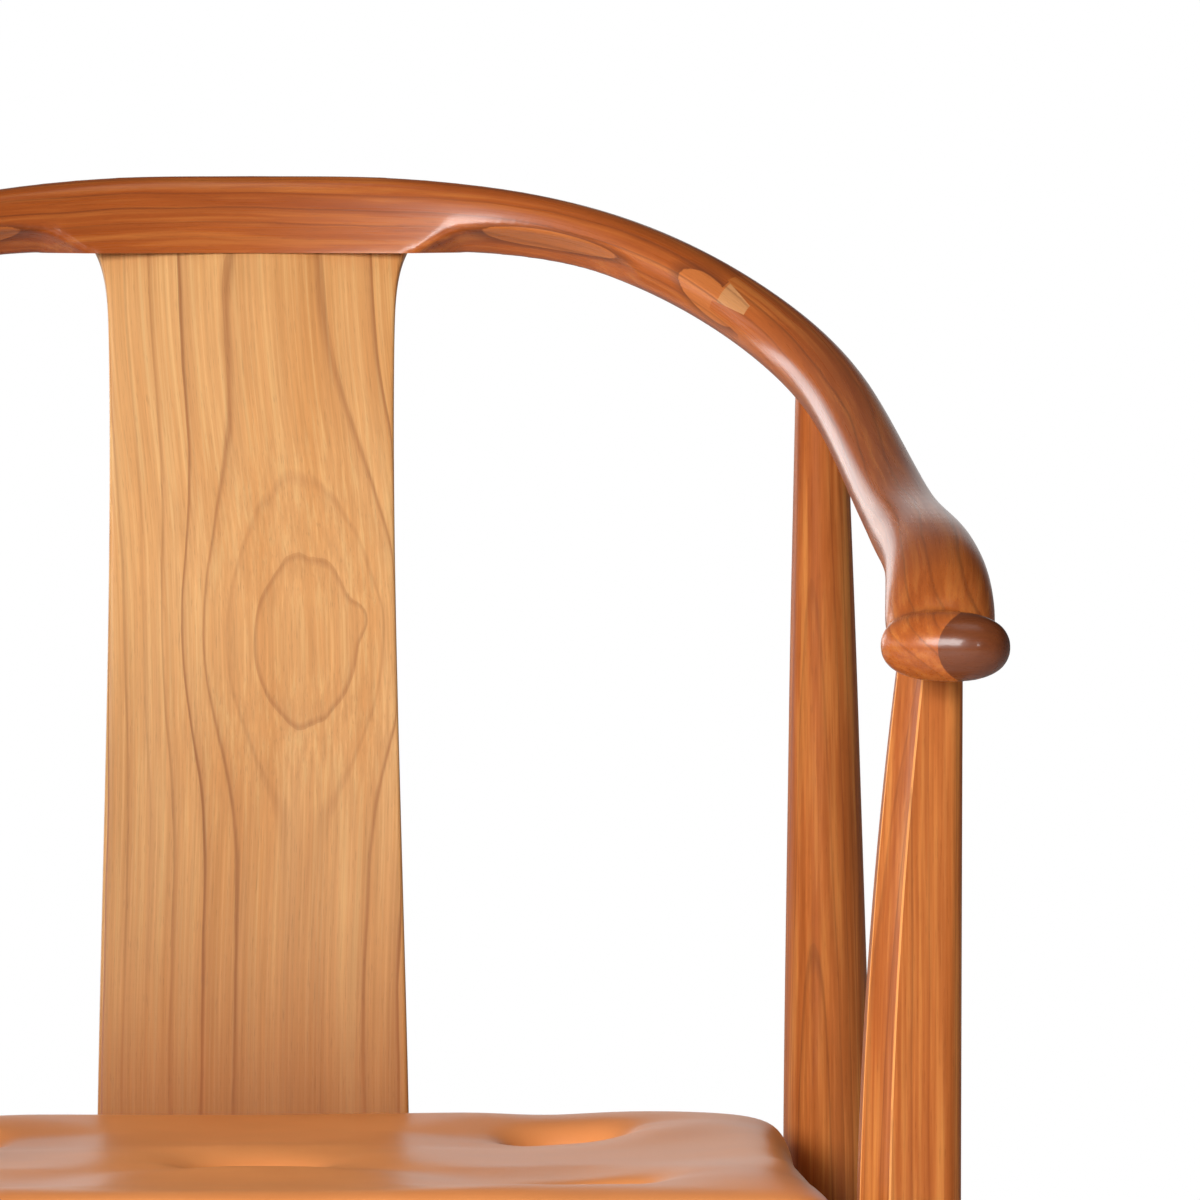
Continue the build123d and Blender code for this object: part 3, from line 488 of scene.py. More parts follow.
def grained(mesh, place, other=None, is_other=None):
    """Stores each point's place in the log, as place(point) gives it. Faces that is_other picks
    belong to a second piece of wood, whose places other(point) gives."""
    values = [tuple(place(vertex.co)) for vertex in mesh.vertices]
    layer = mesh.attributes.new("grain", "FLOAT_VECTOR", "CORNER")
    corners = [values[corner.vertex_index] for corner in mesh.loops]
    if other:
        for face in mesh.polygons:
            if is_other(face.center):
                for index in face.loop_indices:
                    corners[index] = tuple(other(mesh.vertices[mesh.loops[index].vertex_index].co))
    layer.data.foreach_set("vector", [number for corner in corners for number in corner])


def store_painted_light(mesh, painted_light):
    """Stores painted light: how much paler (a painted highlight, above 0) or darker (painted shade, below
    0) the wood is drawn, from the face's middle.
    """
    layer = mesh.attributes.new("painted_light", "FLOAT", "CORNER")
    values = [0.0] * len(mesh.loops)
    for face in mesh.polygons:
        shade = painted_light(face.center)
        for index in face.loop_indices:
            values[index] = shade
    layer.data.foreach_set("value", values)


def figured(mesh, figure):
    """Stores the wood's drawn figures: over 1 inside a pale lens, near 1 on its dark outline, over
    1.6 on a finger's end grain and below 0 on a knob's cap."""
    layer = mesh.attributes.new("figure", "FLOAT", "POINT")
    layer.data.foreach_set("value", [figure(vertex.co) for vertex in mesh.vertices])


def log_place(origin, along, across, pith):
    """A straight board or leg in its log: along is its length, across one side, pith its heart."""
    along = Vector(along).normalized()
    across = (Vector(across) - along * Vector(across).dot(along)).normalized()
    third = along.cross(across)
    origin = Vector(origin)
    shift = Vector(pith)

    def place(point):
        step = point - origin
        return Vector((step.dot(across), step.dot(third), step.dot(along))) + shift

    return place


def ring_skin(rings):
    """Faces between rings of points and over both ends; each ring has as many points."""
    count = len(rings[0])
    points = [point for ring in rings for point in ring]
    faces = []
    for row in range(len(rings) - 1):
        for step in range(count):
            a, b = row * count + step, row * count + (step + 1) % count
            faces.append((a, b, b + count, a + count))
    faces.append(tuple(range(count))[::-1])
    faces.append(tuple((len(rings) - 1) * count + step for step in range(count)))
    return points, faces


def blend_rows(rows, share):
    """Row of numbers at a share of the way, flowing smoothly through the rows of a table."""
    last = len(rows) - 1
    index = max(0, min(last - 1, sum(1 for row in rows if row[0] <= share) - 1))
    low, high = rows[index], rows[index + 1]
    before, after = rows[max(0, index - 1)], rows[min(last, index + 2)]
    step = high[0] - low[0]
    t = clamp((share - low[0]) / step)
    result = []
    for column in range(1, len(low)):
        start = (high[column] - before[column]) / (high[0] - before[0]) * step
        end = (after[column] - low[column]) / (after[0] - low[0]) * step
        result.append(flow(t, low[column], high[column], start, end))
    return result


class FlowingLine:
    """A smooth line through points, with its directions at both ends, measured along its length."""

    def __init__(self, points, first, last, samples=1200):
        self.points = [Vector(point) for point in points]
        count = len(points)
        spans = [(b - a).length for a, b in zip(self.points, self.points[1:])]
        slopes = [Vector(first).normalized()] + [None] * (count - 2) + [Vector(last).normalized()]
        # Tridiagonal system for the directions at the inner points.
        upper, right = [0.0] * count, [Vector()] * count
        right[0] = slopes[0]
        for i in range(1, count - 1):
            low, high = 1 / spans[i - 1], 1 / spans[i]
            target = 3 * ((self.points[i] - self.points[i - 1]) * low * low
                          + (self.points[i + 1] - self.points[i]) * high * high)
            pivot = 2 * (low + high) - low * upper[i - 1]
            upper[i] = high / pivot
            right[i] = (target - low * right[i - 1]) / pivot
        for i in range(count - 2, 0, -1):
            slopes[i] = right[i] - upper[i] * slopes[i + 1]
        self.spans, self.slopes = spans, slopes
        total = sum(spans)
        self.table = []
        run, previous = 0.0, self.points[0]
        for step in range(samples + 1):
            at, way = self.raw(total * step / samples)
            run += (at - previous).length
            previous = at
            self.table.append((run, at, way.normalized()))
        self.length = run

    def raw(self, run):
        """Point and slope at a run along the straight spans between the given points."""
        index = 0
        while index < len(self.spans) - 1 and run > self.spans[index]:
            run -= self.spans[index]
            index += 1
        span = self.spans[index]
        t = min(1.0, run / span)
        a, b = self.points[index], self.points[index + 1]
        u, v = self.slopes[index] * span, self.slopes[index + 1] * span
        way = (6 * t - 6) * t * a + ((3 * t - 4) * t + 1) * u + (6 - 6 * t) * t * b + (3 * t - 2) * t * v
        return flow(t, a, b, u, v), way

    def at(self, share):
        """Point and direction at a share of the length."""
        run = share * self.length
        low, high = 0, len(self.table) - 1
        while high - low > 1:
            middle = (low + high) // 2
            if self.table[middle][0] < run:
                low = middle
            else:
                high = middle
        a, b = self.table[low], self.table[high]
        t = (run - a[0]) / (b[0] - a[0])
        return a[1].lerp(b[1], t), a[2].lerp(b[2], t).normalized()


# ---- Crest rail and arms -------------------------------------------------------------------------
def rail_line():
    """The left half of the rail's middle line, from the crest's middle to the arm's front end."""
    size = bpy.context.scene.armchair_rail
    points = [
        (
            spread * size.arm_spread,
            -size.arm_front + back * (size.crest_back + size.arm_front),
            size.arm_height + rise * (size.crest_height - size.arm_height),
        )
        for spread, back, rise in RAIL_LINE
    ]
    return FlowingLine(points, (1, 0, 0), (0, -1, -0.5))


def rail_axes(line, share, lean=0.0):
    """Point on the line, and the section's directions: outwards, up and along."""
    at, along = line.at(share)
    outward = Vector((0, 0, 1)).cross(along).normalized()
    up = along.cross(outward)
    across = outward * cos(lean) - up * sin(lean)
    return at, across, along.cross(across), along


def hollow(top, foot, radius):
    """Middle of the round cutter that hollows the front from its top to its foot, outside the wood."""
    chord = foot - top
    away = Vector((chord.y, -chord.x)).normalized()
    if away.x + away.y > 0:
        away = -away
    return (top + foot) / 2 + away * sqrt(radius ** 2 - (chord.length / 2) ** 2)


def rail_section(share, count=88):
    """Points round the rail: square where it meets the splat, hollowed beside it, then round."""
    square, squarer = 3.6, 12
    cut_width, least_cut, least_chord, least_reach = 1.25, 0.02, 0.5, 2.0
    half_width, half_height, squareness, _ = blend_rows(RAIL_SECTIONS, share)
    front_squareness = squareness
    if share < SQUARE_END:
        more = squarer * clamp((SQUARE_END - share) / SQUARE_FADE)
        front_squareness = max(squareness, square + more)
    deeper = DEEPENING * clamp((DEEP_END - share) / DEEP_FADE)
    cut, ridge = 0.0, -1.0
    if RIDGE[0][0] < share < RIDGE[-1][0]:
        cut, ridge = blend_rows(RIDGE, share)
    top_of_cut = Vector((-half_width, half_height * ridge))
    foot_of_cut = Vector((-half_width + cut_width * half_width * max(0.0, cut), -half_height))
    radius = bpy.context.scene.armchair_rail.hollow_radius / MM
    centre = None
    if cut > least_cut and (foot_of_cut - top_of_cut).length > least_chord:
        centre = hollow(top_of_cut, foot_of_cut, radius)
    points = []
    for step in range(count):
        angle = 2 * pi * step / count
        c, s = cos(angle), sin(angle)
        power = front_squareness if c < 0 and s < 0 else squareness
        reach = (abs(c / half_width) ** power + abs(s / half_height) ** power) ** (-1 / power)
        if centre is not None:
            along = centre.x * c + centre.y * s
            inside = along ** 2 - centre.length_squared + radius ** 2
            if along > 0 and inside > 0:
                reach = min(reach, max(least_reach, along - sqrt(inside)))
        x, y = c * reach, s * reach
        if y < 0:
            y += deeper * y / half_height * (1.0 if x < 0 else max(0.0, 1 - x / half_width) ** 2)
        points.append((x * MM, y * MM))
    return points


def rail_rings(line, side):
    """Rings of points along one half of the rail."""
    rings, steps = [], 440
    for step in range(steps + 1):
        share = step / steps
        lean = radians(blend_rows(RAIL_SECTIONS, share)[3])
        at, across, up, _ = rail_axes(line, share, lean)
        ring = [at + across * x + up * y for x, y in rail_section(share)]
        rings.append([Vector((side * point.x, point.y, point.z)) for point in ring])
    return rings


def knob_axis(line, side):
    """Middle of the bar across an arm's end, and the way to its outer end."""
    end, _ = line.at(1.0)
    centre = end + Vector(KNOB_SHIFT) * MM
    turn = radians(KNOB_TURN)
    return Vector((side * centre.x, centre.y, centre.z)), Vector((side * cos(turn), sin(turn), 0))


def knob_rings(line, side, around=72, rows=60):
    """The rounded bar across the end of an arm."""
    size = bpy.context.scene.armchair_rail
    centre, long_way = knob_axis(line, 1)
    side_way = Vector((-long_way.y, long_way.x, 0))
    half, thick = size.knob_length / 2, size.knob_diameter / 2
    crowding, roundness, fullness, depth = 0.85, 2.5, 2.4, 1.04
    rings = []
    for row in range(1, rows):
        share = -cos(pi * row / rows)
        along = half * (1 if share > 0 else -1) * abs(share) ** crowding
        swell = max(0.0, 1 - abs(along / half) ** roundness) ** (1 / fullness)
        ring = []
        for step in range(around):
            angle = 2 * pi * step / around
            point = centre + long_way * along
            point += (side_way * cos(angle) * depth + Vector((0, 0, 1)) * sin(angle)) * thick * swell
            ring.append(Vector((side * point.x, point.y, point.z)))
        rings.append(ring)
    return rings


def whole_rail(line):
    """Crest, arms and knobs as one smooth skin."""
    left, right = rail_rings(line, 1), rail_rings(line, -1)
    points, faces = ring_skin(right[::-1] + left[1:])
    mesh = mesh_of("rail_body", points, faces)
    work = bmesh.new()
    work.from_mesh(mesh)
    for side in (1, -1):
        points, faces = ring_skin(knob_rings(line, side))
        work.from_mesh(mesh_of("knob", points, faces))
    bmesh.ops.recalc_face_normals(work, faces=work.faces)
    work.to_mesh(mesh)
    work.free()
    piece = working("rail", mesh)
    add_skin(piece, bpy.context.scene.armchair_rail.voxel)
    add_polish(piece, RAIL_POLISH)
    return baked(piece, "rail")


def cutter(name, rings):
    """A solid between rings of points, ready to cut with."""
    mesh = mesh_of(name, *ring_skin(rings))
    face_outwards(mesh)
    return working(name, mesh)


def finger_cutter(line, side):
    """A zigzag block that takes everything beyond the finger joint on one side."""
    at, across, up, along = rail_axes(line, FINGER_JOINT)
    far, near, half, root, tip = 700.0, -450.0, 10.0, 9.0, 4.0
    outline = [(-half, -far)]
    for middle in FINGER_MIDDLES:
        outline += [(-half, middle - root / 2), (half, middle - tip / 2),
                    (half, middle + tip / 2), (-half, middle + root / 2)]
    outline += [(-half, far), (far, far), (far, -far)]
    rings = []
    for depth in (near, far):
        ring = [at + along * x * MM + up * y * MM + across * depth * MM for x, y in outline]
        rings.append([Vector((side * point.x, point.y, point.z)) for point in ring])
    return cutter("finger_cutter", rings)


def flat_cutter():
    """A block that trims the crest level where it meets the splat, to a crisp edge."""
    half, front, back, low = 95, 232, 310, 700
    outline = ((front, low), (back, low), (back, CREST_EDGE), (front, CREST_EDGE))
    rings = [[Vector((x, y, z)) * MM for y, z in outline] for x in (-half, half)]
    return cutter("flat_cutter", rings)


def cut_rail(mesh, cutters, operation, name):
    """What is left of the rail outside the cutters, or inside them."""
    piece = working(name, mesh.copy())
    for block in cutters:
        modifier = piece.modifiers.new("fingers", "BOOLEAN")
        modifier.object = block
        modifier.operation = operation
        modifier.solver = "EXACT"
    return baked(piece, name)


def rail_grain(line, shift, twist):
    """Place in the log of a point on the rail, whose fibres follow its curve."""
    steps = 360
    tree = KDTree(steps + 1)
    frames = []
    for step in range(steps + 1):
        share = step / steps
        at, across, up, along = rail_axes(line, share)
        frames.append((at, across, up, along, share * line.length))
        tree.insert(at, step)
    tree.balance()

    def place(point):
        side = 1 if point.x >= 0 else -1
        half = Vector((abs(point.x), point.y, point.z))
        _, index, _ = tree.find(half)
        at, across, up, along, run = frames[index]
        step = half - at
        x, y, z = step.dot(across), step.dot(up), run + step.dot(along)
        c, s = cos(twist), sin(twist)
        return (shift[0] + c * x - s * y, shift[1] + s * x + c * y, shift[2] + side * z)

    return place


class ARMCHAIR_OT_rail(bpy.types.Operator):
    """Makes the crest rail and both arms, finger-jointed, each from its own piece of cherry"""

    bl_idname = "armchair.rail"
    bl_label = "Crest rail and arms"

    def knob_cap(self, line, side):
        """Darker end grain on the knob's outer end, with a round border towards the sitter."""
        centre, long_way = knob_axis(line, side)
        middle, half_long, half_high, bar = 12.0, 15.7, 13.9, 14.6
        crispness, darkest, past_middle = 9, 1.45, 0.8

        def cap(point):
            out = point - centre
            if (out - long_way * out.dot(long_way)).length >= bar * MM:
                return 0.0
            across = (side * out.x / MM - middle) / half_long
            reach = hypot(across, out.z / MM / half_high)
            if across > 0:
                reach = min(reach, past_middle)
            return -clamp(1 + (1 - reach) * crispness, 0.0, darkest)

        return cap

    def crest_figure(self, line):
        """Pale lens-shaped figures below the ridge and at the finger joint, and the sandy finger."""
        end, steps = 0.36, 240
        axes = [(share, *rail_axes(line, share, radians(blend_rows(RAIL_SECTIONS, share)[3])))
                for share in [end * step / steps for step in range(steps + 1)]]
        tree = KDTree(len(axes))
        for index, row in enumerate(axes):
            tree.insert(row[1], index)
        tree.balance()
        # Each figure's middle as a share of the rail and a height, its half sizes and its tilt.
        lenses = ((0.193, -4.6, 0.046, 3.4, 40.0), (0.316, 1.6, 0.028, 7.2, -70.0))
        lens_limit, sandy, finger_start = 1.45, 2.0, 9.0

        def figure(point):
            half = Vector((abs(point.x), point.y, point.z))
            share, at, across, up, along = axes[tree.find(half)[1]]
            step = (half - at) / MM
            if step.dot(across) > 0:
                return 0.0
            height = step.dot(up)
            best = 0.0
            for middle, level, long, high, tilt in lenses:
                reach = hypot((share - middle) / long, (height - level - tilt * (share - middle)) / high)
                best = max(best, min(lens_limit, 2 - reach))
            run = (share - FINGER_JOINT) * line.length / MM + step.dot(along)
            if height > 0:
                best = max(best, min(sandy, 1 + (run + finger_start) / 2))
            return best

        return figure

    def execute(self, context):
        line = rail_line()
        rail = whole_rail(line)
        cutters = [finger_cutter(line, side) for side in (1, -1)] + [flat_cutter()]
        pieces = (
            ("crest_rail", cutters, "DIFFERENCE", (0.004, 0.046, 0.3), 0.35),
            ("arm_left", cutters[:1], "INTERSECT", (0.012, 0.040, 1.7), 0.5),
            ("arm_right", cutters[1:2], "INTERSECT", (0.020, 0.052, 2.9), -0.4),
        )
        for name, used, operation, shift, twist in pieces:
            mesh = cut_rail(rail, used, operation, name)
            if name == "crest_rail":
                grained(mesh, rail_grain(line, shift, twist))
                figured(mesh, self.crest_figure(line))
            else:
                side = 1 if name == "arm_left" else -1
                cap = self.knob_cap(line, side)
                # The cap shows the end of a log that lies across the chair.
                grained(mesh, rail_grain(line, shift, twist),
                        lambda p: (0.03 + p.y, p.z - 0.62, side * p.x), lambda p: cap(p) < -1)
                figured(mesh, cap)
            smooth(mesh, radians(40))
            new_piece(name + "_wood", mesh, "frame", finish("crest"), (name,))
        for block in cutters:
            bpy.data.objects.remove(block)
        return {"FINISHED"}


# ---- Splat ---------------------------------------------------------------------------------------
def splat_half_width(level, foot, top):
    """Half the splat's width at a height: narrowest below the crest, flaring out at its corners."""
    neck = top - NECK_DROP
    if level <= neck:
        t = max(0.0, (level - foot) / (neck - foot))
        return flow(t, FOOT_HALF, NECK_HALF, 0.5 * (NECK_HALF - FOOT_HALF), 0.0)
    t = (level - neck) / (top - neck)
    return NECK_HALF + 1.4 * t * t + 4.4 * t ** 9


def splat_log(x, z, depth):
    """Place in the log of a point on the splat, with the swelling that draws the eye in its grain."""
    across = 8.0 + fade(14.0, z, 715.0, 30.0) - fade(4.0, z, 520.0, 25.0)
    eye = 7.5 * hump((x - EYE_X) / 35.0, (z - EYE_Z) / (41.0 if z > EYE_Z else 34.0))
    knot = 1.6 * hump((x - 47.5) / 4.5, (z - 637.0) / 6.5)
    tail = fade(2.6 * hump((x - 20.0) / 20.0), z, 565.0, 18.0)
    return ((x - across) * MM, (184.58 + depth - eye - knot - tail) * MM, z * MM)


def splat_outline(half):
    """Points round the splat, from its front left corner: across and towards the front."""
    columns, deep, edge = 64, SPLAT_THICKNESS / 2, SPLAT_EDGE
    corner = [radians(90 * step / 4) for step in range(5)]
    flat = 2 * half - 2 * edge
    outline = [(-half + edge + flat * step / columns, deep) for step in range(columns + 1)]
    outline += [(half - edge + edge * sin(a), deep - edge + edge * cos(a)) for a in corner[1:]]
    outline += [(half - edge + edge * cos(a), -deep + edge - edge * sin(a)) for a in corner]
    outline += [(half - edge - flat * step / columns, -deep) for step in range(1, columns + 1)]
    outline += [(-half + edge - edge * sin(a), -deep + edge - edge * cos(a)) for a in corner[1:]]
    outline += [(-half + edge - edge * cos(a), deep - edge + edge * sin(a)) for a in corner[:-1]]
    return outline


class ARMCHAIR_OT_splat(bpy.types.Operator):
    """Makes the bent splat from one flat-sawn cherry board with an eye in its grain"""

    bl_idname = "armchair.splat"
    bl_label = "Back splat"

    def execute(self, context):
        rows, set_back_from, set_back_over, most_set_back = 200, 766, 22, 1.5
        levels = [SPLAT_FOOT + (SPLAT_TOP - SPLAT_FOOT) * row / rows for row in range(rows + 1)]
        tree = surface_tree(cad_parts["back_splat"].data)
        rings = []
        for level in levels:
            front, slope = self.front(tree, level)
            front += most_set_back * clamp((level - set_back_from) / set_back_over) ** 2
            half = splat_half_width(level, SPLAT_FOOT, SPLAT_TOP - 3)
            norm = Vector((0, -1, slope)).normalized()
            middle = Vector((0, front, level)) - norm * SPLAT_THICKNESS / 2
            rings.append([(middle + Vector((x, 0, 0)) + norm * y, y, level)
                          for x, y in splat_outline(half)])
        points, faces = ring_skin([[place * MM for place, _, _ in ring] for ring in rings])
        mesh = mesh_of("back_splat_wood", points, faces)
        grain = [splat_log(place.x, level, SPLAT_THICKNESS / 2 - y)
                 for ring in rings for place, y, level in ring]
        layer = mesh.attributes.new("grain", "FLOAT_VECTOR", "POINT")
        layer.data.foreach_set("vector", [value for row in grain for value in row])
        # Painted shade: the splat is drawn darker towards its foot, down by the cushion.
        store_painted_light(mesh, lambda point: fade(-0.88, point.z, 0.462, 0.026))
        face_outwards(mesh)
        smooth(mesh)
        new_piece("back_splat_wood", mesh, "frame", finish("splat"), ("back_splat",))
        return {"FINISHED"}

    def front(self, tree, level):
        """The front face at a height and its slope, carried on near the ends from where it is whole."""
        beside, apart = 0.03, 4
        safe = clamp(level, SPLAT_FOOT + 6, SPLAT_TOP - 11)
        upper, lower = (tree.ray_cast(Vector((beside, -1, probe * MM)), Vector((0, 1, 0)))[0].y / MM
                        for probe in (safe, safe - apart))
        slope = (upper - lower) / apart
        return upper + slope * (level - safe), slope


# ---- Legs ----------------------------------------------------------------------------------------
def rounded_corner(previous, corner, following, radius, steps):
    """Points of the arc that rounds a corner."""
    a, b = (previous - corner).normalized(), (following - corner).normalized()
    half = a.angle(b) / 2
    reach = radius / tan(half)
    start, end = corner + a * reach, corner + b * reach
    centre = corner + (a + b).normalized() * radius / sin(half)
    points = []
    for step in range(steps + 1):
        way = (start - centre).lerp(end - centre, step / steps).normalized()
        points.append(centre + way * radius)
    return points


def leg_corner(level):
    """Where the upper front leg's inner and front sides would meet at a height."""
    t = (level - LEG_SEAT) / COVE_LENGTH
    mid, at_mid, at_arm = 156.0 / COVE_LENGTH, 31.6, 20.9
    thick = (LEG_THICK * (t - mid) * (t - 1) / mid + at_mid * t * (t - 1) / (mid * (mid - 1))
             + at_arm * t * (t - mid) / (1 - mid))
    return LEG_OUTER - thick, LEG_FRONT


def cove_edges(level):
    """Middle of the front leg's cove at a height and its two edges, on the inner and front sides."""
    inner, front = leg_corner(level)
    t = (level - LEG_SEAT) / COVE_LENGTH
    centre = Vector((inner - 13.6 - 1.5 * t, front - 7.0 - 1.9 * t))
    side = Vector((inner, centre.y + sqrt(COVE_RADIUS ** 2 - (inner - centre.x) ** 2)))
    face = Vector((centre.x + sqrt(COVE_RADIUS ** 2 - (front - centre.y) ** 2), front))
    return centre, side, face


def painted_edge_highlight(point):
    """Painted highlight: paler wood along the two edges of a front leg's cove, where they catch the light.
    """
    highlight_width = 0.75
    if point.z < (LEG_SEAT + 1) * MM:
        return 0.0
    place = Vector((abs(point.x), point.y)) / MM
    _, side, face = cove_edges(point.z / MM)
    return 1.0 if min((place - side).length, (place - face).length) < highlight_width else 0.0


def front_leg_outline(level):
    """Points round the left front leg at a height, in millimetres."""
    thick, corner = LEG_THICK, LEG_CORNER
    coved = level > LEG_SEAT
    if level <= LEG_STRETCHER:
        t = (level - LEG_FOOT) / 182
        thick, corner = 27 + 6 * t, 12.4 + 0.6 * t
    elif level <= LEG_SHOULDER:
        t = (level - LEG_STRETCHER) / 145
        thick, corner = 33 + 4.8 * t, 13 - 5 * t
    elif coved:
        thick = LEG_OUTER - leg_corner(level)[0]
        corner = LEG_CORNER * thick / LEG_THICK
    inner, back = LEG_OUTER - thick, LEG_FRONT + thick
    a, b = Vector((inner, LEG_FRONT)), Vector((LEG_OUTER, LEG_FRONT))
    c, d = Vector((LEG_OUTER, back)), Vector((inner, back))
    ring = rounded_corner(a, b, c, corner, 7) + rounded_corner(b, c, d, corner, 7)
    ring += rounded_corner(c, d, a, corner, 7)
    if coved:
        arris = 0.9
        centre, side, face = cove_edges(level)
        first, last = side - centre, face - centre
        hollowed = [centre + first.lerp(last, step / 10).normalized() * COVE_RADIUS for step in range(11)]
        ring += rounded_corner(d, side, hollowed[2], arris, 4)
        ring += hollowed[2:-2]
        ring += rounded_corner(hollowed[-3], face, b, arris, 4)
    else:
        # As many points as the coved outline has, so that the two join.
        whole = rounded_corner(d, a, b, corner, 14)
        first, last = whole[0], whole[-1]
        ring += [d.lerp(first, 0.90 + 0.02 * step) for step in range(4)]
        ring += [first]
        ring += whole[4:-4]
        ring += [last]
        ring += [last.lerp(b, 0.02 * step + 0.02) for step in range(4)]
    return ring


def leg_levels(breaks, step):
    """Heights from the first to the last break, none further apart than a step."""
    levels = []
    for low, high in zip(breaks, breaks[1:]):
        count = max(1, round((high - low) / step))
        levels += [low + (high - low) * index / count for index in range(count)]
    return levels + [breaks[-1]]


def rear_leg_radius(level):
    """Thickest by the seat, tapering to both ends."""
    rows = ((-3.0, 13.5), (185.0, 16.5), (359.5, 19.0), (598.0, 14.35), (739.1, 10.25))
    return blend_rows(rows, level)[0]


class ARMCHAIR_OT_legs(bpy.types.Operator):
    """Makes the coved front legs and the turned, raked rear legs"""

    bl_idname = "armchair.legs"
    bl_label = "Legs"

    def execute(self, context):
        for side, name, pith in ((1, "left", (0.030, 0.052, 0.2)), (-1, "right", (0.024, 0.060, 1.3))):
            self.front(side, "front_leg_" + name, pith)
            self.rear(side, "rear_leg_" + name, (pith[1] * 0.35, pith[0] + 0.012, pith[2] + 4.1))
        return {"FINISHED"}

    def front(self, side, name, pith):
        plain = leg_levels((LEG_FOOT, LEG_STRETCHER, LEG_SHOULDER, LEG_SEAT), 9)
        coved = leg_levels((LEG_SEAT + 0.001, LEG_HEAD), 7)
        rings = [[Vector((side * point.x, point.y, level)) * MM for point in front_leg_outline(level)]
                 for level in plain + coved]
        mesh = mesh_of(name, *ring_skin(rings))
        face_outwards(mesh)
        smooth(mesh, radians(40))
        grained(mesh, log_place((side * 0.245, -0.23, 0.0), (0, 0, 1), (1, 0, 0), pith))
        # Painted highlight along the two edges of the cove.
        store_painted_light(mesh, painted_edge_highlight)
        new_piece(name + "_wood", mesh, "frame", finish("frame"), (name,))

    def rear(self, side, name, pith):
        head, around, depth = Vector(REAR_HEAD), 56, 1.003
        rings = []
        for level in leg_levels((LEG_FOOT, 738.0), 9):
            drop = head.z - level
            centre = Vector((head.x + drop * REAR_OUT, head.y + drop * REAR_BACK, level))
            radius = rear_leg_radius(level)
            rings.append([])
            for angle in (2 * pi * step / around for step in range(around)):
                x, y = centre.x + radius * cos(angle), centre.y + radius * depth * sin(angle)
                rings[-1].append(Vector((side * x, y, level)) * MM)
        mesh = mesh_of(name, *ring_skin(rings))
        face_outwards(mesh)
        smooth(mesh, radians(40))
        grained(mesh, log_place(head * MM, (side * -REAR_OUT, -REAR_BACK, 1), (1, 0, 0), pith))
        new_piece(name + "_wood", mesh, "frame", finish("frame"), (name,))


# ---- Seat frame and stretchers -------------------------------------------------------------------
def eased_copy(name, edge):
    """A smooth copy of a CAD node with its sharp edges eased."""
    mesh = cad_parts[name].data.copy()
    work = bmesh.new()
    work.from_mesh(mesh)
    bmesh.ops.remove_doubles(work, verts=work.verts, dist=0.02 * MM)
    bmesh.ops.dissolve_limit(work, angle_limit=radians(0.5), verts=work.verts, edges=work.edges)
    work.to_mesh(mesh)
    work.free()
    piece = working(name + "_eased", mesh)
    bevel = piece.modifiers.new("ease", "BEVEL")
    bevel.width = edge
    bevel.segments = 2
    bevel.limit_method = "ANGLE"
    bevel.angle_limit = radians(35)
    bevel.use_clamp_overlap = True
    mesh = baked(piece, name + "_wood")
    face_outwards(mesh)
    smooth(mesh, radians(30))
    return mesh


def ease_boards(boards, edge, look="frame"):
    """Eases each CAD board's edges, lays its grain along it and puts it in the frame."""
    for name, along, pith in boards:
        mesh = eased_copy(name, edge)
        low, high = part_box(name)
        grained(mesh, log_place((Vector(low) + Vector(high)) / 2, along, (0, 0, 1), pith))
        new_piece(name + "_wood", mesh, "frame", finish(look), (name,))


class ARMCHAIR_OT_seat_frame(bpy.types.Operator):
    """Eases the arched seat rails and gives each its grain"""

    bl_idname = "armchair.seat_frame"
    bl_label = "Seat rails"

    def execute(self, context):
        ease_boards((
            ("seat_rail_front", (1, 0, 0), (0.012, 0.070, 0.5)),
            ("seat_rail_back", (1, 0, 0), (0.030, 0.055, 1.9)),
            ("seat_rail_left", (0, 1, 0), (0.022, 0.062, 3.3)),
            ("seat_rail_right", (0, 1, 0), (0.008, 0.080, 4.7)),
        ), 1.0 * MM)
        return {"FINISHED"}


class ARMCHAIR_OT_stretchers(bpy.types.Operator):
    """Eases the stretchers between the legs and gives each its grain"""

    bl_idname = "armchair.stretchers"
    bl_label = "Stretchers"

    def execute(self, context):
        ease_boards((
            ("stretcher_front", (1, 0, 0), (0.034, 0.020, 0.9)),
            ("stretcher_back", (1, 0, 0), (0.018, 0.034, 2.2)),
            ("stretcher_left", (0, 1, 0), (0.026, 0.030, 3.9)),
            ("stretcher_right", (0, 1, 0), (0.040, 0.012, 5.1)),
        ), 0.6 * MM)
        return {"FINISHED"}


class ARMCHAIR_OT_underside(bpy.types.Operator):
    """Eases the corner blocks and the plywood seat panel under the cushion"""

    bl_idname = "armchair.underside"
    bl_label = "Corner blocks and seat panel"

    def execute(self, context):
        blocks = [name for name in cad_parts
                  if name.startswith("corner_block_") and not name.endswith("screws")]
        ease_boards([(name, (1, 1 if "left" in name else -1, 0), (0.02, 0.05, len(name)))
                     for name in blocks], 0.8 * MM, "beech")
        mesh = eased_copy("seat_panel", 0.4 * MM)
        grained(mesh, log_place((0, 0, 0.4), (1, 0, 0), (0, 1, 0.03), (0.01, 0.11, 0.4)))
        new_piece("seat_panel_ply", mesh, "frame", finish("ply"), ("seat_panel",))
        return {"FINISHED"}


# ---- Cushion -------------------------------------------------------------------------------------
def seat_top(y):
    """Height of the seat frame's top at y, in metres."""
    return SEAT_LEVEL - (y - SEAT_FRONT) * tan(radians(SEAT_SLOPE))


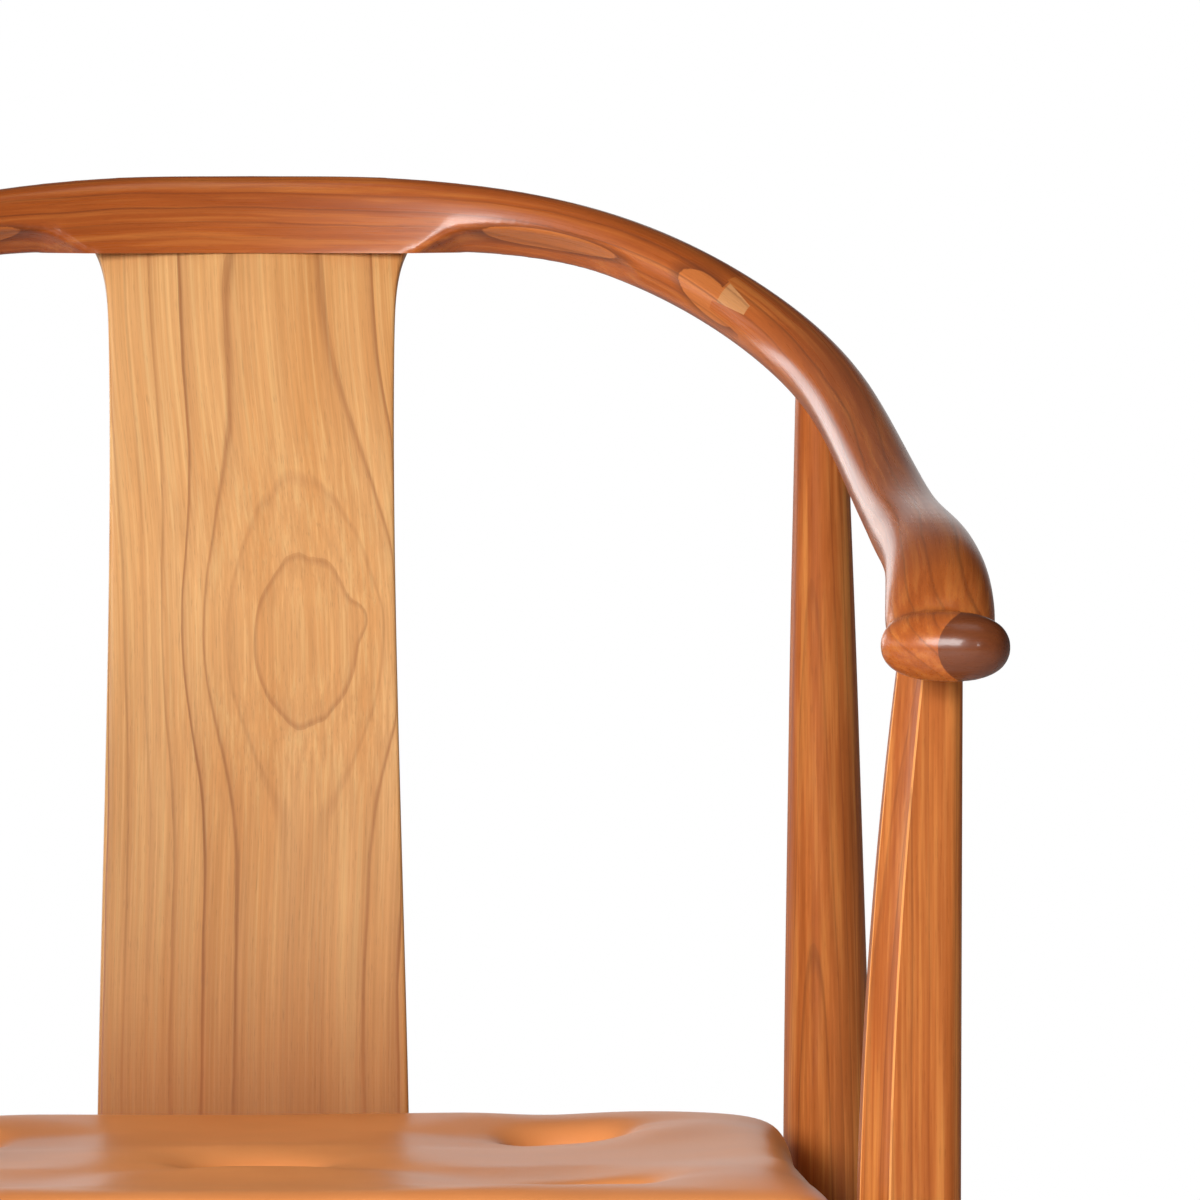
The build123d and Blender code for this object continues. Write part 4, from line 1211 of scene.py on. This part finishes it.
def tuft_points():
    """Middles of the five tufts, in metres."""
    low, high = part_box("tuft_buttons_top")
    aside, ahead = 0.127, 0.118
    middle = (low[1] + high[1]) / 2
    return [(0.0, middle)] + [(sx * aside, middle + sy * ahead) for sx in (-1, 1) for sy in (-1, 1)]


class ARMCHAIR_OT_cushion(bpy.types.Operator):
    """Fills the tufted leather cushion like a pad under pressure"""

    bl_idname = "armchair.cushion"
    bl_label = "Cushion"

    def execute(self, context):
        size = context.scene.armchair_cushion
        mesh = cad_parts["cushion_core"].data.copy()
        face_outwards(mesh, 0.02 * MM)
        piece = working("cushion", mesh)
        add_skin(piece, size.mesh_size)
        mesh = baked(piece, "cushion")
        before = [vertex.co.copy() for vertex in mesh.vertices]
        after = self.filled(context, mesh, size)
        tufts = tuft_points()
        low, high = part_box("cushion_cover")
        for vertex, start, end in zip(mesh.vertices, before, after):
            move = end - start
            if move.length > size.cap:
                move = move.normalized() * size.cap
            vertex.co = self.settled(start + move, tufts, low, high, size)
        piece = working("cushion", mesh)
        add_polish(piece, 12)
        finer = piece.modifiers.new("finer", "SUBSURF")
        finer.levels = finer.render_levels = 1
        mesh = baked(piece, "cushion_leather")
        for vertex in mesh.vertices:
            vertex.co.z = max(vertex.co.z, seat_top(vertex.co.y) + 0.3 * MM)
        smooth(mesh, radians(60))
        cushion = new_piece("cushion_leather", mesh, "cushion", finish("leather"),
                            ("cushion_cover", "cushion_base", "cushion_core", "tuft_twines"))
        return {"FINISHED"}

    def filled(self, context, mesh, size):
        """The cushion's points after pressure has swollen it, with the tufts held down."""
        piece = working("filling", mesh.copy())
        held = piece.vertex_groups.new(name="held")
        tufts, button_reach, last_step = tuft_points(), 11 * MM, 20
        for vertex in piece.data.vertices:
            near = min(hypot(vertex.co.x - x, vertex.co.y - y) for x, y in tufts)
            if near < button_reach:
                held.add([vertex.index], 1.0, "REPLACE")
        cloth = piece.modifiers.new("filling", "CLOTH")
        cloth.settings.vertex_group_mass = "held"
        cloth.settings.use_pressure = True
        cloth.settings.uniform_pressure_force = size.pressure
        cloth.settings.effector_weights.gravity = 0.0
        cloth.settings.quality = 3
        cloth.collision_settings.use_collision = False
        cloth.point_cache.frame_start = 1
        cloth.point_cache.frame_end = last_step
        for step in range(1, last_step + 1):
            context.scene.frame_set(step)
        depsgraph = context.evaluated_depsgraph_get()
        swollen = piece.evaluated_get(depsgraph).to_mesh()
        moves = [end.co - start.co for start, end in zip(mesh.vertices, swollen.vertices)]
        piece.evaluated_get(depsgraph).to_mesh_clear()
        bpy.data.objects.remove(piece)
        context.scene.frame_set(1)
        # The leather spreads each move over its neighbours, so that the swelling is even.
        near = [[] for _ in moves]
        for a, b in (edge.vertices for edge in mesh.edges):
            near[a].append(b)
            near[b].append(a)
        for _ in range(size.evening):
            moves = [
                (move + sum((moves[other] for other in around), Vector())) / (1 + len(around))
                for move, around in zip(moves, near)
            ]
        return [vertex.co + move for vertex, move in zip(mesh.vertices, moves)]

    def settled(self, point, tufts, low, high, size):
        """Lowers the sat-on middle, plumps the leather round each tuft and ruffles it a little."""
        side_height, top_height, ruffle = 18 * MM, 20 * MM, 0.5 * MM
        wide, narrow, ripple_middle, ripple_width, ripple_end = (
            number * MM for number in (52, 15, 30, 16, 90))
        # 0 on the sides, 1 on the top.
        top = clamp((point.z - seat_top(point.y) - side_height) / top_height)
        half = (high[0] - low[0]) / 2
        mid = (low[1] + high[1]) / 2
        deep = (high[1] - low[1]) / 2
        u, v = abs(point.x) / half, abs(point.y - mid) / deep
        inner = max(0.0, 1 - u ** 4) * max(0.0, 1 - v ** 4)
        point.z -= size.dish * inner * top
        for x, y in tufts:
            dx, dy = point.x - x, point.y - y
            reach = hypot(dx, dy)
            full = exp(-(reach / wide) ** 2) - exp(-(reach / narrow) ** 2)
            point.z += size.plump * full * top
            if reach < ripple_end:
                fading = exp(-((reach - ripple_middle) / ripple_width) ** 2)
                ripple = cos(7 * atan2(dy, dx) + 40 * x + 9 * y) * fading
                point.z += ruffle * ripple * top
        point.z += ruffle * top * noise.noise(Vector((point.x * 14, point.y * 14, 3.1)))
        return point


class ARMCHAIR_OT_cushion_seam(bpy.types.Operator):
    """Runs the welt and its stitches round the cushion's sides, and covers the buttons"""

    bl_idname = "armchair.cushion_seam"
    bl_label = "Welt, stitches and buttons"

    def execute(self, context):
        size = context.scene.armchair_cushion
        tree = surface_tree(bpy.data.objects["cushion_leather"].data)
        low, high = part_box("cushion_cover")
        middle = Vector(((low[0] + high[0]) / 2, (low[1] + high[1]) / 2, 0))
        welt, upper, lower = (self.round_line(tree, middle, rise * MM, out * MM)
                              for rise, out in ((20.0, 0.3), (25.2, 0.1), (14.8, 0.1)))
        curve = closed_curve("welt", [welt])
        curve.bevel_depth = size.welt / 2
        curve.bevel_resolution = 3
        mesh = baked(working("welt", curve), "cushion_welt")
        face_outwards(mesh, 0.001 * MM)
        smooth(mesh)
        new_piece("cushion_welt", mesh, "cushion", finish("leather"))
        stitches = stitch_mesh([upper, lower], size)
        new_piece("cushion_stitches", stitches, "cushion", finish("thread"))
        for name in ("tuft_buttons_top", "tuft_buttons_bottom"):
            mesh = clean_copy(name, 0.01 * MM, radians(50))
            new_piece(name + "_leather", mesh, "cushion", finish("leather"), (name,))
        return {"FINISHED"}

    def round_line(self, tree, middle, rise, out, count=360):
        """A closed line round the cushion's sides, so high above the seat and so far off the leather."""
        outside, first_guess, tries = 0.5, 0.2, 3
        points = []
        for step in range(count):
            angle = 2 * pi * step / count
            way = Vector((cos(angle), sin(angle), 0))
            start = middle + way * outside
            hit = middle + way * first_guess
            for _ in range(tries):
                start.z = seat_top(hit.y) + rise
                hit, normal, _, _ = tree.ray_cast(start, -way)
            points.append(hit + normal * out)
        return points


def stitch_mesh(lines, size):
    """Stitches laid along closed lines by a node tree, as one mesh."""
    tree = bpy.data.node_groups.new("Stitches", "GeometryNodeTree")
    face = tree.interface
    face.new_socket("Geometry", in_out="INPUT", socket_type="NodeSocketGeometry")
    pitch = face.new_socket("Pitch", in_out="INPUT", socket_type="NodeSocketFloat")
    stitch = face.new_socket("Stitch length", in_out="INPUT", socket_type="NodeSocketFloat")
    thread = face.new_socket("Thread thickness", in_out="INPUT", socket_type="NodeSocketFloat")
    face.new_socket("Geometry", in_out="OUTPUT", socket_type="NodeSocketGeometry")
    add, link = tree.nodes.new, tree.links.new
    given, result = add("NodeGroupInput"), add("NodeGroupOutput")
    points = add("GeometryNodeCurveToPoints")
    points.mode = "LENGTH"
    bar = add("GeometryNodeMeshUVSphere")
    bar.inputs["Segments"].default_value = 6
    bar.inputs["Rings"].default_value = 5
    bar.inputs["Radius"].default_value = 0.5
    shape = add("ShaderNodeCombineXYZ")
    stretch = add("GeometryNodeTransform")
    lay = add("GeometryNodeInstanceOnPoints")
    real = add("GeometryNodeRealizeInstances")
    paint = add("GeometryNodeSetMaterial")
    paint.inputs["Material"].default_value = finish("thread")
    link(given.outputs["Geometry"], points.inputs["Curve"])
    link(given.outputs["Pitch"], points.inputs["Length"])
    link(given.outputs["Thread thickness"], shape.inputs[0])
    link(given.outputs["Thread thickness"], shape.inputs[1])
    link(given.outputs["Stitch length"], shape.inputs[2])
    link(bar.outputs["Mesh"], stretch.inputs["Geometry"])
    link(shape.outputs[0], stretch.inputs["Scale"])
    link(points.outputs["Points"], lay.inputs["Points"])
    link(stretch.outputs["Geometry"], lay.inputs["Instance"])
    link(points.outputs["Rotation"], lay.inputs["Rotation"])
    link(lay.outputs["Instances"], real.inputs["Geometry"])
    link(real.outputs["Geometry"], paint.inputs["Geometry"])
    link(paint.outputs["Geometry"], result.inputs["Geometry"])
    holder = working("stitch_lines", closed_curve("stitch_lines", lines))
    modifier = holder.modifiers.new("Stitches", "NODES")
    modifier.node_group = tree
    modifier[pitch.identifier] = size.stitch + size.stitch_gap
    modifier[stitch.identifier] = size.stitch
    modifier[thread.identifier] = size.thread
    mesh = baked(holder, "cushion_stitches")
    mesh.shade_smooth()
    return mesh


# ---- Finishes ------------------------------------------------------------------------------------
FINISHES = {}


def make_finish(name):
    """Makes one of the materials, in the colours the user has chosen."""
    look = bpy.context.scene.armchair_finish
    ring = tuple(look.ring)
    makers = {
        # The splat's foot colour is the painted shade that its lower part turns to.
        "splat": lambda: cherry_material(
            "Pale cherry", tuple(look.splat_light), tuple(look.splat_dark), (0.30, 0.105, 0.035),
            strength=1.0, streak=0.20, waver=1.0, band=0.26, streaks=560.0, foot=(0.34, 0.088, 0.010),
            coat=0.0, gloss=0.2),
        "crest": lambda: cherry_material(
            "Ruddy cherry", tuple(look.crest_light), tuple(look.crest_dark), ring, spacing=6.5,
            strength=0.6, streak=0.14, waver=4.5, roughness=0.27, run=9, coat=0.20, band=0.5, gloss=0.34),
        "frame": lambda: cherry_material(
            "Cherry", tuple(look.frame_light), tuple(look.frame_dark), ring, spacing=4.2, strength=0.55,
            streak=0.22, waver=2.2, coat=0.05, band=0.75, gloss=0.14),
        "beech": lambda: cherry_material(
            "Beech", (0.62, 0.42, 0.25), (0.50, 0.31, 0.17), (0.36, 0.2, 0.1), spacing=2.2,
            strength=0.4, roughness=0.5),
        "ply": lambda: cherry_material(
            "Birch plywood", (0.60, 0.38, 0.20), (0.50, 0.30, 0.15), (0.42, 0.26, 0.14), spacing=6.0,
            strength=0.45, roughness=0.5),
        "leather": lambda: leather_material("Tan leather", tuple(look.leather)),
        "thread": lambda: plain_material("Linen thread", (0.62, 0.42, 0.24), 0.7, grain=2500.0),
        "steel": lambda: plain_material("Plated steel", (0.62, 0.60, 0.55), 0.34, metallic=1.0,
                                        grain=900.0),
        "nylon": lambda: plain_material("Dark nylon", (0.035, 0.030, 0.028), 0.5),
    }
    return makers[name]()


def finish(name):
    """The material of this name, made when it is first asked for."""
    if name not in FINISHES:
        FINISHES[name] = make_finish(name)
    return FINISHES[name]


class ARMCHAIR_OT_hardware(bpy.types.Operator):
    """Finishes the screws and the foot glides"""

    bl_idname = "armchair.hardware"
    bl_label = "Screws and glides"

    def execute(self, context):
        for name, slot, look in (("corner_block_screws", "screw_steel", "steel"),
                                 ("seat_panel_screws", "screw_steel", "steel"),
                                 ("foot_glides", "glide", "nylon")):
            mesh = clean_copy(name, 0.01 * MM, radians(30))
            new_piece(name + "_finished", mesh, "frame", finish(look), (name,))
        return {"FINISHED"}


# ---- Stage ---------------------------------------------------------------------------------------
def lamp(name, place, target, size, power):
    """A soft area light that the camera doesn't see."""
    light = bpy.data.lights.new(name, "AREA")
    light.shape = "RECTANGLE"
    light.size, light.size_y = size
    light.energy = power
    holder = bpy.data.objects.new(name, light)
    bpy.context.scene.collection.objects.link(holder)
    way = Vector(target) - Vector(place)
    holder.rotation_euler = way.to_track_quat("-Z", "Y").to_euler()
    holder.location = place
    holder.visible_camera = False


def lay_floor():
    """A pale floor that shows the chair's shadow and turns to plain white further off."""
    half = 30
    corners = [(-half, -half, 0), (half, -half, 0), (half, half, 0), (-half, half, 0)]
    mesh = mesh_of("floor", corners, [(0, 1, 2, 3)])
    ground = bpy.data.objects.new("floor", mesh)
    bpy.context.scene.collection.objects.link(ground)
    pale = Recipe("Pale floor")
    reach = pale.vector("LENGTH", pale.add("TexCoord", output=3), output=1)
    far = pale.ramp(pale.math("DIVIDE", reach, 3.2), ((0.28, 0.0), (1.0, 1.0)), "EASE")
    glow = pale.add("Emission", {"Color": (1, 1, 1), "Strength": 1.0})
    pale.finish(Base_Color=(0.86, 0.86, 0.86), Roughness=0.75)
    both = pale.tree.nodes.new("ShaderNodeMixShader")
    pale.feed(both.inputs[0], pale.math("MULTIPLY", far, pale.add("LightPath")))
    pale.feed(both.inputs[1], pale.shader.outputs[0])
    pale.feed(both.inputs[2], glow)
    pale.tree.links.new(both.outputs[0], pale.tree.nodes["Material Output"].inputs[0])
    mesh.materials.append(pale.material)


def light_room(strength):
    """A white backdrop for the camera, and an even, dimmer room that lights the chair."""
    world = bpy.data.worlds.new("Room")
    world.use_nodes = True
    bpy.context.scene.world = world
    tree = world.node_tree
    add, link = tree.nodes.new, tree.links.new
    back = tree.nodes["Background"]
    back.inputs["Color"].default_value = (1, 1, 1, 1)
    # A shiny surface sees the white backdrop behind the chair and to its left, and elsewhere
    # the dimmer room.
    way, lean, split = (add("ShaderNode" + kind) for kind in ("TexCoord", "VectorMath", "SeparateXYZ"))
    lean.operation = "DOT_PRODUCT"
    lean.inputs[1].default_value = (-0.883, 0.469, 0.0)
    link(way.outputs["Generated"], lean.inputs[0])
    link(way.outputs["Generated"], split.inputs[0])

    def sector(value, start, end, before, after):
        """Brightness that goes from before to after as the value passes from start to end."""
        ranged = add("ShaderNodeMapRange")
        link(value, ranged.inputs["Value"])
        for key, number in (("From Min", start), ("From Max", end), ("To Min", before), ("To Max", after)):
            ranged.inputs[key].default_value = number
        return ranged.outputs[0]

    side = sector(lean.outputs["Value"], 0.15, 0.40, 0.12, 1.25)
    left = sector(lean.outputs["Value"], 0.55, 0.85, 0.0, 1.7)
    high = sector(split.outputs["Z"], 0.12, 0.33, 1.0, 0.08)
    both, shine, plain, seen = (add("ShaderNode" + kind) for kind in ("Math", "Math", "Mix", "Mix"))
    shine.operation = "MULTIPLY"
    path = add("ShaderNodeLightPath")
    plain.inputs[2].default_value = strength
    seen.inputs[3].default_value = 1.0
    link(side, both.inputs[0])
    link(left, both.inputs[1])
    link(both.outputs[0], shine.inputs[0])
    link(high, shine.inputs[1])
    link(path.outputs["Is Glossy Ray"], plain.inputs[0])
    link(shine.outputs[0], plain.inputs[3])
    link(path.outputs["Is Camera Ray"], seen.inputs[0])
    link(plain.outputs[0], seen.inputs[2])
    link(seen.outputs[0], back.inputs["Strength"])


def place_camera(size):
    """A long lens in front of the chair, leaning down a little and turned a little to the right."""
    camera = bpy.data.cameras.new("camera")
    camera.sensor_width = 36.0
    camera.lens = 273.3
    camera.clip_end = 100.0
    eye = bpy.data.objects.new("camera", camera)
    bpy.context.scene.collection.objects.link(eye)
    eye.location = (0, -size.eye_distance, size.eye_height)
    lean_down, turn_right = 3.257, 2.19  # degrees
    eye.rotation_euler = (radians(90 - lean_down), 0, radians(-turn_right))
    bpy.context.scene.camera = eye


class ARMCHAIR_OT_stage(bpy.types.Operator):
    """Sets up the floor, the lights, the room and the camera"""

    bl_idname = "armchair.stage"
    bl_label = "Stage"

    def execute(self, context):
        size = context.scene.armchair_stage
        lay_floor()
        light_room(size.world)
        lamp("key_light", (-1.7, -3.1, 1.75), (0, 0, 0.6), (1.6, 1.3), size.key)
        lamp("top_light", (0.1, -0.7, 3.0), (0, 0, 0.5), (1.3, 1.0), size.top)
        lamp("side_light", (-1.9, 1.9, 0.95), (0, 0, 0.65), (0.9, 1.2), size.side)
        lamp("front_light", (0.5, -3.3, 1.55), (0, 0, 0.6), (0.3, 0.3), size.front)
        place_camera(size)
        context.scene.view_settings.view_transform = "Standard"
        return {"FINISHED"}


# ---- Panel and registration ----------------------------------------------------------------------
STEPS = (
    ARMCHAIR_OT_stage,
    ARMCHAIR_OT_rail,
    ARMCHAIR_OT_splat,
    ARMCHAIR_OT_legs,
    ARMCHAIR_OT_seat_frame,
    ARMCHAIR_OT_stretchers,
    ARMCHAIR_OT_underside,
    ARMCHAIR_OT_hardware,
    ARMCHAIR_OT_cushion,
    ARMCHAIR_OT_cushion_seam,
)
SETTINGS = {
    "armchair_rail": RailSettings,
    "armchair_cushion": CushionSettings,
    "armchair_finish": FinishSettings,
    "armchair_stage": StageSettings,
}


class ARMCHAIR_PT_panel(bpy.types.Panel):
    """Lists the armchair's pieces, sizes and finishes"""

    bl_idname = "ARMCHAIR_PT_panel"
    bl_label = "Horseshoe back armchair"
    bl_space_type = "VIEW_3D"
    bl_region_type = "UI"
    bl_category = "Armchair"

    def draw(self, context):
        for step in STEPS:
            self.layout.operator(step.bl_idname)
        for name in SETTINGS:
            box = self.layout.box()
            group = getattr(context.scene, name)
            for key in group.bl_rna.properties.keys():
                if key not in ("rna_type", "name"):
                    box.prop(group, key)


def register():
    for group in (*SETTINGS.values(), *STEPS, ARMCHAIR_PT_panel):
        bpy.utils.register_class(group)
    for name, group in SETTINGS.items():
        setattr(bpy.types.Scene, name, PointerProperty(type=group))


def unregister():
    for name in SETTINGS:
        delattr(bpy.types.Scene, name)
    for group in (ARMCHAIR_PT_panel, *reversed(STEPS), *SETTINGS.values()):
        bpy.utils.unregister_class(group)


def main():
    register()
    for step in STEPS:
        group, name = step.bl_idname.split(".")
        getattr(getattr(bpy.ops, group), name)()


if __name__ == "__main__":
    main()
